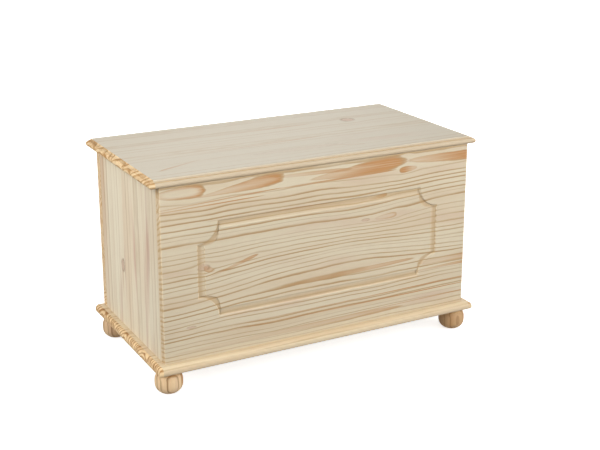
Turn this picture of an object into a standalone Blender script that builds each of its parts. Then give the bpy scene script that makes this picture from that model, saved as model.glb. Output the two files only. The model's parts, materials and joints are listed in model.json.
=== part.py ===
"""Wooden toy box: a pine chest on four turned feet, with a moulded lid on two butt hinges and one slotted stay.

Metres, +Z up. X runs along the width, -Y is the front, and z = 0 is the floor under the middle of the box.
"""

import math
from collections import defaultdict, namedtuple

import bmesh
import bpy
from mathutils import Matrix, Vector

# ------------------------------------------------------------------ driving sizes
GAP = 0.0003  # between pieces that touch
PROUD = 0.002  # how far a cutter stands out of the face it cuts

CARCASS_WIDTH = 0.758
CARCASS_DEPTH = 0.385
CARCASS_HEIGHT = 0.387
PANEL_THICKNESS = 0.020  # front and back panels
SIDE_THICKNESS = 0.018
EDGE_EASE = 0.0008  # the sanded edges of the flat boards

LID_THICKNESS = 0.016
LID_SIDE_OVERHANG = 0.021
LID_FRONT_OVERHANG = 0.004
LID_BACK_OVERHANG = 0.011
LID_NOSE_RADIUS = 0.0057
LID_QUIRK_WIDTH = 0.0009
LID_QUIRK_DROP = 0.0005  # the quirk's bottom, below the top of the nose
LID_QUIRK_RISE = 0.0015  # from the top of the nose to the foot of the slope
LID_SLOPE_INSET = 0.013  # from the lid's edge to its flat top

BASE_THICKNESS = 0.018
BASE_SIDE_OVERHANG = 0.020
BASE_FRONT_OVERHANG = 0.018
BASE_BACK_OVERHANG = 0.006
BASE_TOP_ROUND = 0.010
BASE_LOWER_ROUND = 0.005
BASE_UPRIGHT = 0.001  # least upright face between the two rounds

GROOVE_SIDE_MARGIN = 0.079  # from the panel's ends to the groove's outer line
GROOVE_EDGE_MARGIN = 0.086  # from the panel's long edges
GROOVE_SCOOP_RADIUS = 0.047
GROOVE_WALL = 0.0028
GROOVE_FLOOR = 0.0015
GROOVE_SLOPE = 0.0132
GROOVE_DEPTH = 0.0034

FOOT_DIAMETER = 0.061
FOOT_HEIGHT = 0.052
FOOT_SQUARENESS = 2.7
FOOT_FLAT_SHARE = 0.37  # the flats' radius against the foot's radius
FOOT_SIDE_INSET = 0.014  # the foot's centre, in from the carcass
FOOT_FRONT_INSET = 0.018
FOOT_BACK_INSET = 0.035

DOWEL_RADIUS = 0.004
DOWEL_COVER = 0.010  # wood left between a dowel and the outside of the front or back panel
DOWEL_IN_SIDE = 0.020
DOWEL_MARGIN = 0.070  # from the carcass's top and bottom

FOOT_STUD_RADIUS = 0.004
FOOT_STUD_IN_FOOT = 0.028
FOOT_STUD_COVER = 0.005  # wood left above the stud in the base

HINGE_LENGTH = 0.050
HINGE_SIDE_INSET = 0.130  # the hinge's middle, in from the carcass's side
HINGE_LEAF_WALL = 0.0035  # of the back panel, left inside the leaf's mortise
HINGE_LEAF_THICKNESS = 0.0015
HINGE_BARREL_RADIUS = 0.0032
HINGE_PIN_RADIUS = 0.0015
HINGE_PIN_HEAD_RADIUS = 0.0025
HINGE_PIN_HEAD = 0.0010
HINGE_KNUCKLES = 5
HINGE_SETBACK = 0.0015  # the axis, behind the back panel's outer face
HINGE_CLEARANCE = 0.0004  # round the barrel
HINGE_SCREW_SPACING = 0.030

BATTEN_WIDTH = 0.040
BATTEN_THICKNESS = 0.015
BATTEN_END_CLEARANCE = 0.012  # from the front and back panels
BATTEN_SIDE_INSET = 0.180  # the batten's middle, in from the carcass's side
BATTEN_SCREW_MARGIN = 0.040

STAY_REACH = 0.150  # from the hinge axis to the stay's two ends
STAY_DROP = 0.012  # the upper pivot, below the hinge axis
STAY_CLOSED_ANGLE = math.radians(25)  # between the stay's two ends, seen from the hinge axis
LID_TRAVEL = math.radians(95)
STAY_WIDTH = 0.014
STAY_THICKNESS = 0.0015
STAY_STANDOFF = 0.0043  # from the side panel to the arm
STAY_SLOT_CLEARANCE = 0.0005
STAY_SLOT_END = 0.002  # spare slot past each end of the stud's travel
STAY_END = 0.009  # metal past the slot
RIVET_RADIUS = 0.0025
RIVET_HEAD_RADIUS = 0.0045
RIVET_HEAD = 0.0012
STUD_PIN_RADIUS = 0.0025
STUD_PIN_HEAD_RADIUS = 0.0055
STUD_PIN_HEAD = 0.002
STUD_PIN_COLLAR_RADIUS = 0.0045
STUD_PIN_SHANK_RADIUS = 0.002
STUD_PIN_COVER = 0.006  # of the side panel, left outside the stud's shank
BRACKET_LENGTH = 0.040
BRACKET_FLANGE = 0.018
BRACKET_THICKNESS = 0.0015
BRACKET_BELOW_PIVOT = 0.007
BRACKET_SCREW_SPACING = 0.026
SLIP = 0.0005  # between the stay's moving faces

BASE_SCREW_MARGIN = 0.060  # from the carcass's sides
BASE_SCREW_BITE = 0.027  # in the panels
HINGE_SCREW_BITE = 0.0145  # in the back panel
LID_SCREW_COVER = 0.0035  # wood left above every screw in the lid

Screw = namedtuple("Screw", "length shank head head_height")
INTO_LID = LID_THICKNESS - LID_SCREW_COVER
BASE_SCREW = Screw(BASE_THICKNESS + BASE_SCREW_BITE, 0.0020, 0.0042, 0.0024)
HINGE_FIXED_SCREW = Screw(HINGE_LEAF_THICKNESS + HINGE_SCREW_BITE, 0.0014, 0.0029, 0.0013)
HINGE_MOVING_SCREW = Screw(INTO_LID, 0.0014, 0.0029, 0.0013)
BATTEN_SCREW = Screw(BATTEN_THICKNESS + INTO_LID, 0.0018, 0.0036, 0.0020)
BRACKET_SCREW = Screw(BRACKET_THICKNESS + INTO_LID, 0.0015, 0.0030, 0.0013)

ROUND_SIDES = 12
BARREL_SIDES = 16
FOOT_SIDES = 24
ARC_STEPS = 6

# ------------------------------------------------------------------ levels and edges
BASE_BOTTOM = FOOT_HEIGHT + GAP
BASE_TOP = BASE_BOTTOM + BASE_THICKNESS
CARCASS_BOTTOM = BASE_TOP + GAP
CARCASS_TOP = CARCASS_BOTTOM + CARCASS_HEIGHT
LID_BOTTOM = CARCASS_TOP + GAP
LID_TOP = LID_BOTTOM + LID_THICKNESS

FRONT_REACH = max(LID_FRONT_OVERHANG, BASE_FRONT_OVERHANG)
BACK_REACH = max(LID_BACK_OVERHANG, BASE_BACK_OVERHANG)
CARCASS_FRONT = FRONT_REACH - (FRONT_REACH + CARCASS_DEPTH + BACK_REACH) / 2
CARCASS_BACK = CARCASS_FRONT + CARCASS_DEPTH
CARCASS_SIDE = CARCASS_WIDTH / 2

INNER_FRONT = CARCASS_FRONT + PANEL_THICKNESS
INNER_BACK = CARCASS_BACK - PANEL_THICKNESS
INNER_SIDE = CARCASS_SIDE - SIDE_THICKNESS
SIDE_MIDDLE = CARCASS_SIDE - SIDE_THICKNESS / 2
CARCASS_MIDDLE = (CARCASS_FRONT + CARCASS_BACK) / 2

HINGE_Y = CARCASS_BACK + HINGE_SETBACK
HINGE_Z = CARCASS_TOP + GAP / 2
HINGE_LEAF_WIDTH = PANEL_THICKNESS + HINGE_SETBACK - HINGE_LEAF_WALL
HINGE_BARREL_ROOM = HINGE_BARREL_RADIUS + HINGE_CLEARANCE
HINGE_SCREW_ROW = (HINGE_LEAF_WIDTH + HINGE_BARREL_ROOM) / 2

SIDES = {"left": -1, "right": 1}

# The stay's two ends lie on one circle round the hinge axis, so the arm turns by half the lid's angle.
STAY_LID_ANGLE = math.asin(STAY_DROP / STAY_REACH)
STAY_SIDE_ANGLE = STAY_LID_ANGLE + STAY_CLOSED_ANGLE
STAY_CLOSED_SPAN = 2 * STAY_REACH * math.sin(STAY_CLOSED_ANGLE / 2)
STAY_OPEN_SPAN = 2 * STAY_REACH * math.sin((STAY_CLOSED_ANGLE + LID_TRAVEL) / 2)
STAY_TILT = (STAY_LID_ANGLE + STAY_SIDE_ANGLE) / 2
ARM_OUTER = INNER_SIDE - STAY_STANDOFF
ARM_INNER = ARM_OUTER - STAY_THICKNESS
EAR_OUTER = ARM_INNER - SLIP
EAR_INNER = EAR_OUTER - BRACKET_THICKNESS


def on_hinge_circle(angle):
    """The point at the stay's reach from the hinge axis, this far below the horizontal, as (y, z)."""
    return HINGE_Y - STAY_REACH * math.cos(angle), HINGE_Z - STAY_REACH * math.sin(angle)


PIVOT_Y, PIVOT_Z = on_hinge_circle(STAY_LID_ANGLE)
STUD_Y, STUD_Z = on_hinge_circle(STAY_SIDE_ANGLE)

# ------------------------------------------------------------------ finishes
Finish = namedtuple("Finish", "colour roughness metallic")
FINISHES = {
    "pine_panel": Finish((0.62, 0.50, 0.34), 0.62, 0.0),
    "pine_side": Finish((0.70, 0.60, 0.43), 0.62, 0.0),
    "pine_lid": Finish((0.68, 0.58, 0.42), 0.60, 0.0),
    "pine_base": Finish((0.72, 0.56, 0.33), 0.62, 0.0),
    "pine_foot": Finish((0.50, 0.33, 0.19), 0.60, 0.0),
    "beech": Finish((0.60, 0.44, 0.28), 0.65, 0.0),
    "brass": Finish((0.72, 0.53, 0.24), 0.30, 1.0),
    "steel": Finish((0.62, 0.62, 0.60), 0.35, 1.0),
}

cutters = defaultdict(bmesh.new)  # (piece to cut, kind of cut) -> the shapes to cut away
CUT_ORDER = ("groove", "mortise", "barrel", "hole")


# ------------------------------------------------------------------ tools
def clear_scene():
    for obj in list(bpy.data.objects):
        bpy.data.objects.remove(obj, do_unlink=True)


def make_material(name):
    finish = FINISHES[name]
    material = bpy.data.materials.new(name)
    material.use_nodes = True
    inputs = material.node_tree.nodes["Principled BSDF"].inputs
    inputs["Base Color"].default_value = (*finish.colour, 1.0)
    inputs["Roughness"].default_value = finish.roughness
    inputs["Metallic"].default_value = finish.metallic
    material.diffuse_color = (*finish.colour, 1.0)
    return material


def add_object(name, bm, material, matrix=None, parent=None, smooth=False):
    """Makes an object from bm, with its origin at matrix in the world, and hangs it from an empty."""
    bmesh.ops.recalc_face_normals(bm, faces=bm.faces)
    mesh = bpy.data.meshes.new(name)
    bm.to_mesh(mesh)
    bm.free()
    if smooth:
        mesh.shade_smooth()
        mesh.set_sharp_from_angle(angle=math.radians(35))
    obj = bpy.data.objects.new(name, mesh)
    bpy.context.scene.collection.objects.link(obj)
    if material:
        mesh.materials.append(material)
    if matrix is None:
        matrix = Matrix.Identity(4)
    held_from = parent["place"] if parent else (0.0, 0.0, 0.0)
    obj.parent = parent
    obj.location = matrix.translation - Vector(held_from)
    obj.rotation_euler = matrix.to_euler()
    return obj


def add_axis(name, place, parent=None):
    """An empty on a joint's axis. It keeps its own place in the world for the pieces that hang from it."""
    empty = bpy.data.objects.new(name, None)
    empty.empty_display_size = 0.05
    bpy.context.scene.collection.objects.link(empty)
    empty["place"] = tuple(place)
    empty.parent = parent
    empty.location = Vector(place) - Vector(parent["place"] if parent else (0, 0, 0))
    return empty


def facing(place, direction):
    """Moves to place and turns local +Z to direction."""
    turn = Vector((0, 0, 1)).rotation_difference(Vector(direction)).to_matrix().to_4x4()
    return Matrix.Translation(place) @ turn


def add_box(bm, low, high):
    low, high = Vector(low), Vector(high)
    size = Matrix.Diagonal((*(high - low), 1.0))
    bmesh.ops.create_cube(bm, size=1.0, matrix=Matrix.Translation((low + high) / 2) @ size)


def add_turned(bm, profile, matrix=None, sides=ROUND_SIDES):
    """Spins a (radius, height) profile that starts and ends on local Z."""
    others = set(bm.verts)
    ring = [bm.verts.new((radius, 0.0, height)) for radius, height in profile]
    edges = [bm.edges.new(pair) for pair in zip(ring, ring[1:])]
    full_turn = {"axis": (0, 0, 1), "cent": (0, 0, 0), "angle": math.tau, "steps": sides}
    bmesh.ops.spin(bm, geom=ring + edges, use_merge=True, **full_turn)
    turned = [v for v in bm.verts if v not in others]
    bmesh.ops.remove_doubles(bm, verts=turned, dist=1e-7)
    if matrix is not None:
        turned = [v for v in bm.verts if v not in others]
        bmesh.ops.transform(bm, matrix=matrix, verts=turned)


def rod(radius, low, high):
    """The profile of a plain cylinder."""
    return [(0.0, low), (radius, low), (radius, high), (0.0, high)]


def arc(centre, radii, start, end, steps=ARC_STEPS):
    """Points on an ellipse's arc, from start to end in degrees, as (across, up)."""
    points = []
    for step in range(steps + 1):
        angle = math.radians(start + (end - start) * step / steps)
        points.append((centre[0] + radii[0] * math.cos(angle), centre[1] + radii[1] * math.sin(angle)))
    return points


def bridge(bm, loops, closed):
    """Skins a row of equal loops of vertices. A row that isn't closed gets its two end faces."""
    pairs = list(zip(loops, loops[1:] + loops[:1])) if closed else list(zip(loops, loops[1:]))
    for one, other in pairs:
        for i in range(len(one)):
            j = (i + 1) % len(one)
            bm.faces.new((one[i], one[j], other[j], other[i]))
    if not closed:
        bm.faces.new(loops[0])
        bm.faces.new(loops[-1])


def ease_edges(obj):
    bevel = obj.modifiers.new("eased edges", "BEVEL")
    bevel.width = EDGE_EASE
    bevel.segments = 1
    bevel.limit_method = "NONE"


def cut_everything():
    """Turns each gathered cutter into a hidden object and a Boolean on its piece."""
    for kind in CUT_ORDER:
        for (piece, cut_kind), bm in sorted(cutters.items(), key=lambda item: item[0]):
            if cut_kind != kind:
                continue
            cutter = add_object(f"cutter_{piece}_{kind}", bm, None)
            cutter.hide_render = True
            cutter.display_type = "WIRE"
            boolean = bpy.data.objects[piece].modifiers.new(kind, "BOOLEAN")
            boolean.operation = "DIFFERENCE"
            boolean.solver = "EXACT"
            boolean.object = cutter


# ------------------------------------------------------------------ fasteners
def screw_profile(screw):
    return [
        (0.0, 0.0),
        (screw.head, 0.0),
        (screw.shank, -screw.head_height),
        (screw.shank, -screw.length + screw.shank),
        (0.0, -screw.length),
    ]


def screw_hole_profile(screw):
    return [
        (0.0, PROUD),
        (screw.head + GAP, PROUD),
        (screw.head + GAP, 0.0),
        (screw.shank + GAP, -screw.head_height - GAP),
        (screw.shank + GAP, -screw.length - GAP),
        (0.0, -screw.length - GAP),
    ]


def drive_screw(name, screw, place, head_faces, material, through, parent=None):
    """A countersunk screw whose head's face is at place, and its hole in each piece that it passes."""
    bm = bmesh.new()
    add_turned(bm, screw_profile(screw))
    matrix = facing(place, head_faces)
    add_object(name, bm, material, matrix, parent, smooth=True)
    for piece in through:
        add_turned(cutters[piece, "hole"], screw_hole_profile(screw), matrix)


def fit_rod(name, radius, place, direction, back, ahead, material, through):
    """A plain round pin from back behind place to ahead of it, and its hole in each piece."""
    bm = bmesh.new()
    add_turned(bm, rod(radius, -back, ahead))
    matrix = facing(place, direction)
    add_object(name, bm, material, matrix, smooth=True)
    for piece in through:
        add_turned(cutters[piece, "hole"], rod(radius + GAP, -back - GAP, ahead + GAP), matrix)


# ------------------------------------------------------------------ boards
def flat_board(name, low, high, material):
    """A flat board with sanded edges, its origin in its middle."""
    low, high = Vector(low), Vector(high)
    middle = (low + high) / 2
    bm = bmesh.new()
    add_box(bm, low - middle, high - middle)
    board = add_object(name, bm, material, Matrix.Translation(middle))
    ease_edges(board)
    return board


def moulded_board(name, half_width, front, back, profile, material, place, parent=None):
    """A board whose front and sides follow a profile of (inset, height) points. Its back edge is square."""
    bm = bmesh.new()
    rails = []
    for inset, height in profile:
        side = half_width - inset
        corners = [(-side, back), (-side, front + inset), (side, front + inset), (side, back)]
        rails.append([bm.verts.new((x, y, height)) for x, y in corners])
    for lower, upper in zip(rails, rails[1:]):
        for i in range(3):
            bm.faces.new((lower[i], lower[i + 1], upper[i + 1], upper[i]))
    bm.faces.new(rails[0])
    bm.faces.new(rails[-1])
    bm.faces.new([rail[0] for rail in rails] + [rail[3] for rail in reversed(rails)])
    return add_object(name, bm, material, Matrix.Translation(place), parent, smooth=True)


def lid_profile():
    """From the lid's underside round its nose, over the quirk and up the slope to the flat top."""
    radius = LID_NOSE_RADIUS
    nose = arc((radius, radius), (radius, radius), -90, -270, 8)
    quirk = radius + LID_QUIRK_WIDTH
    nose_top = 2 * radius
    shoulder = nose_top + LID_QUIRK_RISE
    rise = LID_THICKNESS - shoulder
    run = LID_SLOPE_INSET - quirk
    slope = arc((quirk, LID_THICKNESS), (run, rise), -90, 0, 4)
    return nose + [(quirk, nose_top - LID_QUIRK_DROP)] + slope


def base_profile():
    """A lower round, a short upright face and a larger round to the top."""
    lower = arc((BASE_LOWER_ROUND, BASE_LOWER_ROUND), (BASE_LOWER_ROUND, BASE_LOWER_ROUND), -90, -180, 4)
    top_round = min(BASE_TOP_ROUND, BASE_THICKNESS - BASE_LOWER_ROUND - BASE_UPRIGHT)
    upper = arc((top_round, BASE_THICKNESS - top_round), (top_round, top_round), -180, -270)
    return lower + upper


def build_carcass(materials):
    front = (-CARCASS_SIDE, CARCASS_FRONT, CARCASS_BOTTOM), (CARCASS_SIDE, INNER_FRONT, CARCASS_TOP)
    back = (-CARCASS_SIDE, INNER_BACK, CARCASS_BOTTOM), (CARCASS_SIDE, CARCASS_BACK, CARCASS_TOP)
    flat_board("front_panel", *front, materials["pine_panel"])
    flat_board("back_panel", *back, materials["pine_panel"])
    for side, sign in SIDES.items():
        across = sorted((sign * INNER_SIDE, sign * CARCASS_SIDE))
        low = (across[0], INNER_FRONT + GAP, CARCASS_BOTTOM)
        high = (across[1], INNER_BACK - GAP, CARCASS_TOP)
        flat_board(f"{side}_panel", low, high, materials["pine_side"])
    cut_groove()


def scooped_outline(inset):
    """The groove's outline this far in from its outer line: a rectangle with its corners scooped out."""
    half_width = CARCASS_WIDTH / 2 - GROOVE_SIDE_MARGIN
    half_height = CARCASS_HEIGHT / 2 - GROOVE_EDGE_MARGIN
    radius = GROOVE_SCOOP_RADIUS + inset
    first = math.asin(inset / radius)
    points = []
    for corner, (across, up) in enumerate(((1, 1), (-1, 1), (-1, -1), (1, -1))):
        scoop = []
        for step in range(ARC_STEPS + 1):
            angle = first + (math.pi / 2 - 2 * first) * step / ARC_STEPS
            x = across * (half_width - radius * math.sin(angle))
            z = up * (half_height - radius * math.cos(angle))
            scoop.append((x, z))
        points += scoop if corner % 2 == 0 else scoop[::-1]
    return points


def cut_groove():
    """The routed groove on the front: a steep outer wall, a narrow floor and a long slope to the field."""
    slope_start = GROOVE_WALL + GROOVE_FLOOR
    width = slope_start + GROOVE_SLOPE
    slope = arc((slope_start, 0.0), (GROOVE_SLOPE, GROOVE_DEPTH), 90, 0, 4)
    section = [(0.0, -PROUD), (0.0, 0.0), (GROOVE_WALL, GROOVE_DEPTH), *slope, (width, -PROUD)]
    bm = cutters["front_panel", "groove"]
    middle = (CARCASS_BOTTOM + CARCASS_TOP) / 2
    loops = []
    for inset, depth in section:
        outline = scooped_outline(inset)
        loops.append([bm.verts.new((x, CARCASS_FRONT + depth, middle + z)) for x, z in outline])
    bridge(bm, loops, closed=True)


def build_base(materials):
    front, back = CARCASS_FRONT - BASE_FRONT_OVERHANG, CARCASS_BACK + BASE_BACK_OVERHANG
    half_width = CARCASS_SIDE + BASE_SIDE_OVERHANG
    place = (0, 0, BASE_BOTTOM)
    moulded_board("base_board", half_width, front, back, base_profile(), materials["pine_base"], place)


def foot_profile():
    """A squarish ball with a flat above and below, centred on its own middle."""
    radius, half = FOOT_DIAMETER / 2, FOOT_HEIGHT / 2
    waist = 1 - FOOT_FLAT_SHARE**2
    points = [(0.0, -half)]
    steps = 14
    for step in range(steps + 1):
        share = math.sin(math.radians(-90 + 180 * step / steps))
        points.append((radius * math.sqrt(1 - waist * abs(share) ** FOOT_SQUARENESS), half * share))
    return points + [(0.0, half)]


def build_feet(materials):
    rows = {"front": CARCASS_FRONT + FOOT_FRONT_INSET, "back": CARCASS_BACK - FOOT_BACK_INSET}
    for row, y in rows.items():
        for side, sign in SIDES.items():
            x = sign * (CARCASS_SIDE - FOOT_SIDE_INSET)
            name = f"foot_{row}_{side}"
            bm = bmesh.new()
            add_turned(bm, foot_profile(), sides=FOOT_SIDES)
            place = Matrix.Translation((x, y, FOOT_HEIGHT / 2))
            add_object(name, bm, materials["pine_foot"], place, smooth=True)
            through = (name, "base_board")
            joint = (x, y, FOOT_HEIGHT)
            depths = FOOT_STUD_IN_FOOT, BASE_THICKNESS - FOOT_STUD_COVER
            stud = f"foot_stud_{row}_{side}"
            fit_rod(stud, FOOT_STUD_RADIUS, joint, (0, 0, 1), *depths, materials["steel"], through)


def build_joinery(materials):
    """Dowels in the carcass's corners, and screws up through the base into all four panels."""
    heights = {"low": CARCASS_BOTTOM + DOWEL_MARGIN, "high": CARCASS_TOP - DOWEL_MARGIN}
    ends = {"front": (INNER_FRONT, 1), "back": (INNER_BACK, -1)}
    for row, (y, inward) in ends.items():
        for side, sign in SIDES.items():
            for level, z in heights.items():
                place = (sign * SIDE_MIDDLE, y, z)
                name = f"dowel_{row}_{side}_{level}"
                through = (f"{row}_panel", f"{side}_panel")
                depths = PANEL_THICKNESS - DOWEL_COVER, DOWEL_IN_SIDE
                fit_rod(name, DOWEL_RADIUS, place, (0, inward, 0), *depths, materials["beech"], through)

    reach = CARCASS_SIDE - BASE_SCREW_MARGIN
    rows = {
        "front": (CARCASS_FRONT + INNER_FRONT) / 2,
        "back": (CARCASS_BACK + INNER_BACK) / 2,
    }
    spots = [(f"{row}_{place}", f"{row}_panel", x, y)
             for row, y in rows.items()
             for place, x in (("left", -reach), ("middle", 0.0), ("right", reach))]
    spots += [(side, f"{side}_panel", sign * SIDE_MIDDLE, CARCASS_MIDDLE) for side, sign in SIDES.items()]
    for label, panel, x, y in spots:
        place = (x, y, BASE_BOTTOM)
        name = f"base_screw_{label}"
        drive_screw(name, BASE_SCREW, place, (0, 0, -1), materials["steel"], ("base_board", panel))


def build_lid(materials, lid_axis):
    front, back = CARCASS_FRONT - LID_FRONT_OVERHANG, CARCASS_BACK + LID_BACK_OVERHANG
    half_width = CARCASS_SIDE + LID_SIDE_OVERHANG
    place = Vector((0, HINGE_Y, LID_BOTTOM))
    edges = front - HINGE_Y, back - HINGE_Y
    moulded_board("lid_board", half_width, *edges, lid_profile(), materials["pine_lid"], place, lid_axis)

    batten_front = INNER_FRONT + BATTEN_END_CLEARANCE
    batten_back = INNER_BACK - BATTEN_END_CLEARANCE
    top = LID_BOTTOM - GAP
    bottom = top - BATTEN_THICKNESS
    screw_rows = (
        batten_front + BATTEN_SCREW_MARGIN,
        (batten_front + batten_back) / 2,
        batten_back - BATTEN_SCREW_MARGIN,
    )
    for side, sign in SIDES.items():
        x = sign * (CARCASS_SIDE - BATTEN_SIDE_INSET)
        name = f"lid_batten_{side}"
        bm = bmesh.new()
        size = Vector((BATTEN_WIDTH, batten_back - batten_front, BATTEN_THICKNESS))
        add_box(bm, -size / 2, size / 2)
        middle = Vector((x, (batten_front + batten_back) / 2, (top + bottom) / 2))
        batten = add_object(name, bm, materials["pine_side"], Matrix.Translation(middle), lid_axis)
        ease_edges(batten)
        for number, y in enumerate(screw_rows, start=1):
            screw = f"batten_{side}_screw_{number}"
            through = (name, "lid_board")
            place = (x, y, bottom)
            drive_screw(screw, BATTEN_SCREW, place, (0, 0, -1), materials["steel"], through, lid_axis)


# ------------------------------------------------------------------ hinges
def hinge_leaf(name, middle, up, own_knuckles, material, parent=None):
    """A leaf that lies under (up = -1) or over (up = 1) the hinge's axis, with its share of the knuckles."""
    bore_radius = HINGE_PIN_RADIUS + GAP
    tab_end = (bore_radius + HINGE_BARREL_RADIUS) / 2
    heights = sorted((up * GAP / 2, up * (GAP / 2 + HINGE_LEAF_THICKNESS)))
    plate = bmesh.new()
    low = (-HINGE_LENGTH / 2, -HINGE_LEAF_WIDTH, heights[0])
    high = (HINGE_LENGTH / 2, -HINGE_BARREL_ROOM, heights[1])
    add_box(plate, low, high)
    place = Matrix.Translation(middle)
    leaf = add_object(name, plate, material, place, parent, smooth=True)
    step = HINGE_LENGTH / HINGE_KNUCKLES
    tabs, barrels = bmesh.new(), bmesh.new()
    for knuckle in own_knuckles:
        start = -HINGE_LENGTH / 2 + knuckle * step + GAP / 2
        end = start + step - GAP
        add_box(tabs, (start, -HINGE_BARREL_ROOM - PROUD, heights[0]), (end, -tab_end, heights[1]))
        turn = facing((start, 0, 0), (1, 0, 0))
        add_turned(barrels, rod(HINGE_BARREL_RADIUS, 0.0, end - start), turn, BARREL_SIDES)
    bore = bmesh.new()
    turn = facing((-HINGE_LENGTH / 2 - PROUD, 0, 0), (1, 0, 0))
    add_turned(bore, rod(bore_radius, 0.0, HINGE_LENGTH + 2 * PROUD), turn)
    for label, bm, operation in (
        ("tabs", tabs, "UNION"),
        ("barrels", barrels, "UNION"),
        ("bore", bore, "DIFFERENCE"),
    ):
        tool = add_object(f"cutter_{name}_{label}", bm, None, place, parent)
        tool.hide_render = True
        tool.display_type = "WIRE"
        boolean = leaf.modifiers.new(label, "BOOLEAN")
        boolean.operation = operation
        boolean.solver = "EXACT"
        boolean.object = tool


def let_in(board, middle, up):
    """The mortise for a leaf in its board, and the room round the barrel."""
    depth = GAP / 2 + HINGE_LEAF_THICKNESS + GAP
    heights = sorted((middle[2] - up * PROUD, middle[2] + up * depth))
    half = HINGE_LENGTH / 2 + GAP
    low = (middle[0] - half, HINGE_Y - HINGE_LEAF_WIDTH - GAP, heights[0])
    high = (middle[0] + half, HINGE_Y, heights[1])
    add_box(cutters[board, "mortise"], low, high)
    reach = HINGE_LENGTH / 2 + HINGE_PIN_HEAD + 2 * GAP
    turn = facing((middle[0] - reach, HINGE_Y, middle[2]), (1, 0, 0))
    add_turned(cutters[board, "barrel"], rod(HINGE_BARREL_ROOM, 0.0, 2 * reach), turn, BARREL_SIDES)


def build_hinges(materials, lid_axis):
    for side, sign in SIDES.items():
        middle = Vector((sign * (CARCASS_SIDE - HINGE_SIDE_INSET), HINGE_Y, HINGE_Z))
        fixed, moving = f"hinge_{side}_fixed_leaf", f"hinge_{side}_moving_leaf"
        hinge_leaf(fixed, middle, -1, range(0, HINGE_KNUCKLES, 2), materials["brass"])
        hinge_leaf(moving, middle, 1, range(1, HINGE_KNUCKLES, 2), materials["brass"], lid_axis)
        let_in("back_panel", middle, -1)
        let_in("lid_board", middle, 1)

        pin = bmesh.new()
        reach = HINGE_LENGTH / 2 + GAP
        tip = reach + HINGE_PIN_HEAD
        outline = [
            (0.0, -tip),
            (HINGE_PIN_HEAD_RADIUS, -tip),
            (HINGE_PIN_HEAD_RADIUS, -reach),
            (HINGE_PIN_RADIUS, -reach),
            (HINGE_PIN_RADIUS, reach),
            (HINGE_PIN_HEAD_RADIUS, reach),
            (HINGE_PIN_HEAD_RADIUS, tip),
            (0.0, tip),
        ]
        add_turned(pin, outline)
        add_object(f"hinge_{side}_pin", pin, materials["brass"], facing(middle, (1, 0, 0)), smooth=True)

        leaves = (
            ("fixed", -1, HINGE_FIXED_SCREW, (fixed, "back_panel"), None),
            ("moving", 1, HINGE_MOVING_SCREW, (moving, "lid_board"), lid_axis),
        )
        for kind, up, screw, through, parent in leaves:
            for number, along in enumerate((-HINGE_SCREW_SPACING / 2, HINGE_SCREW_SPACING / 2), start=1):
                place = middle + Vector((along, -HINGE_SCREW_ROW, up * GAP / 2))
                name = f"hinge_{side}_{kind}_screw_{number}"
                drive_screw(name, screw, place, (0, 0, -up), materials["brass"], through, parent)


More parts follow.
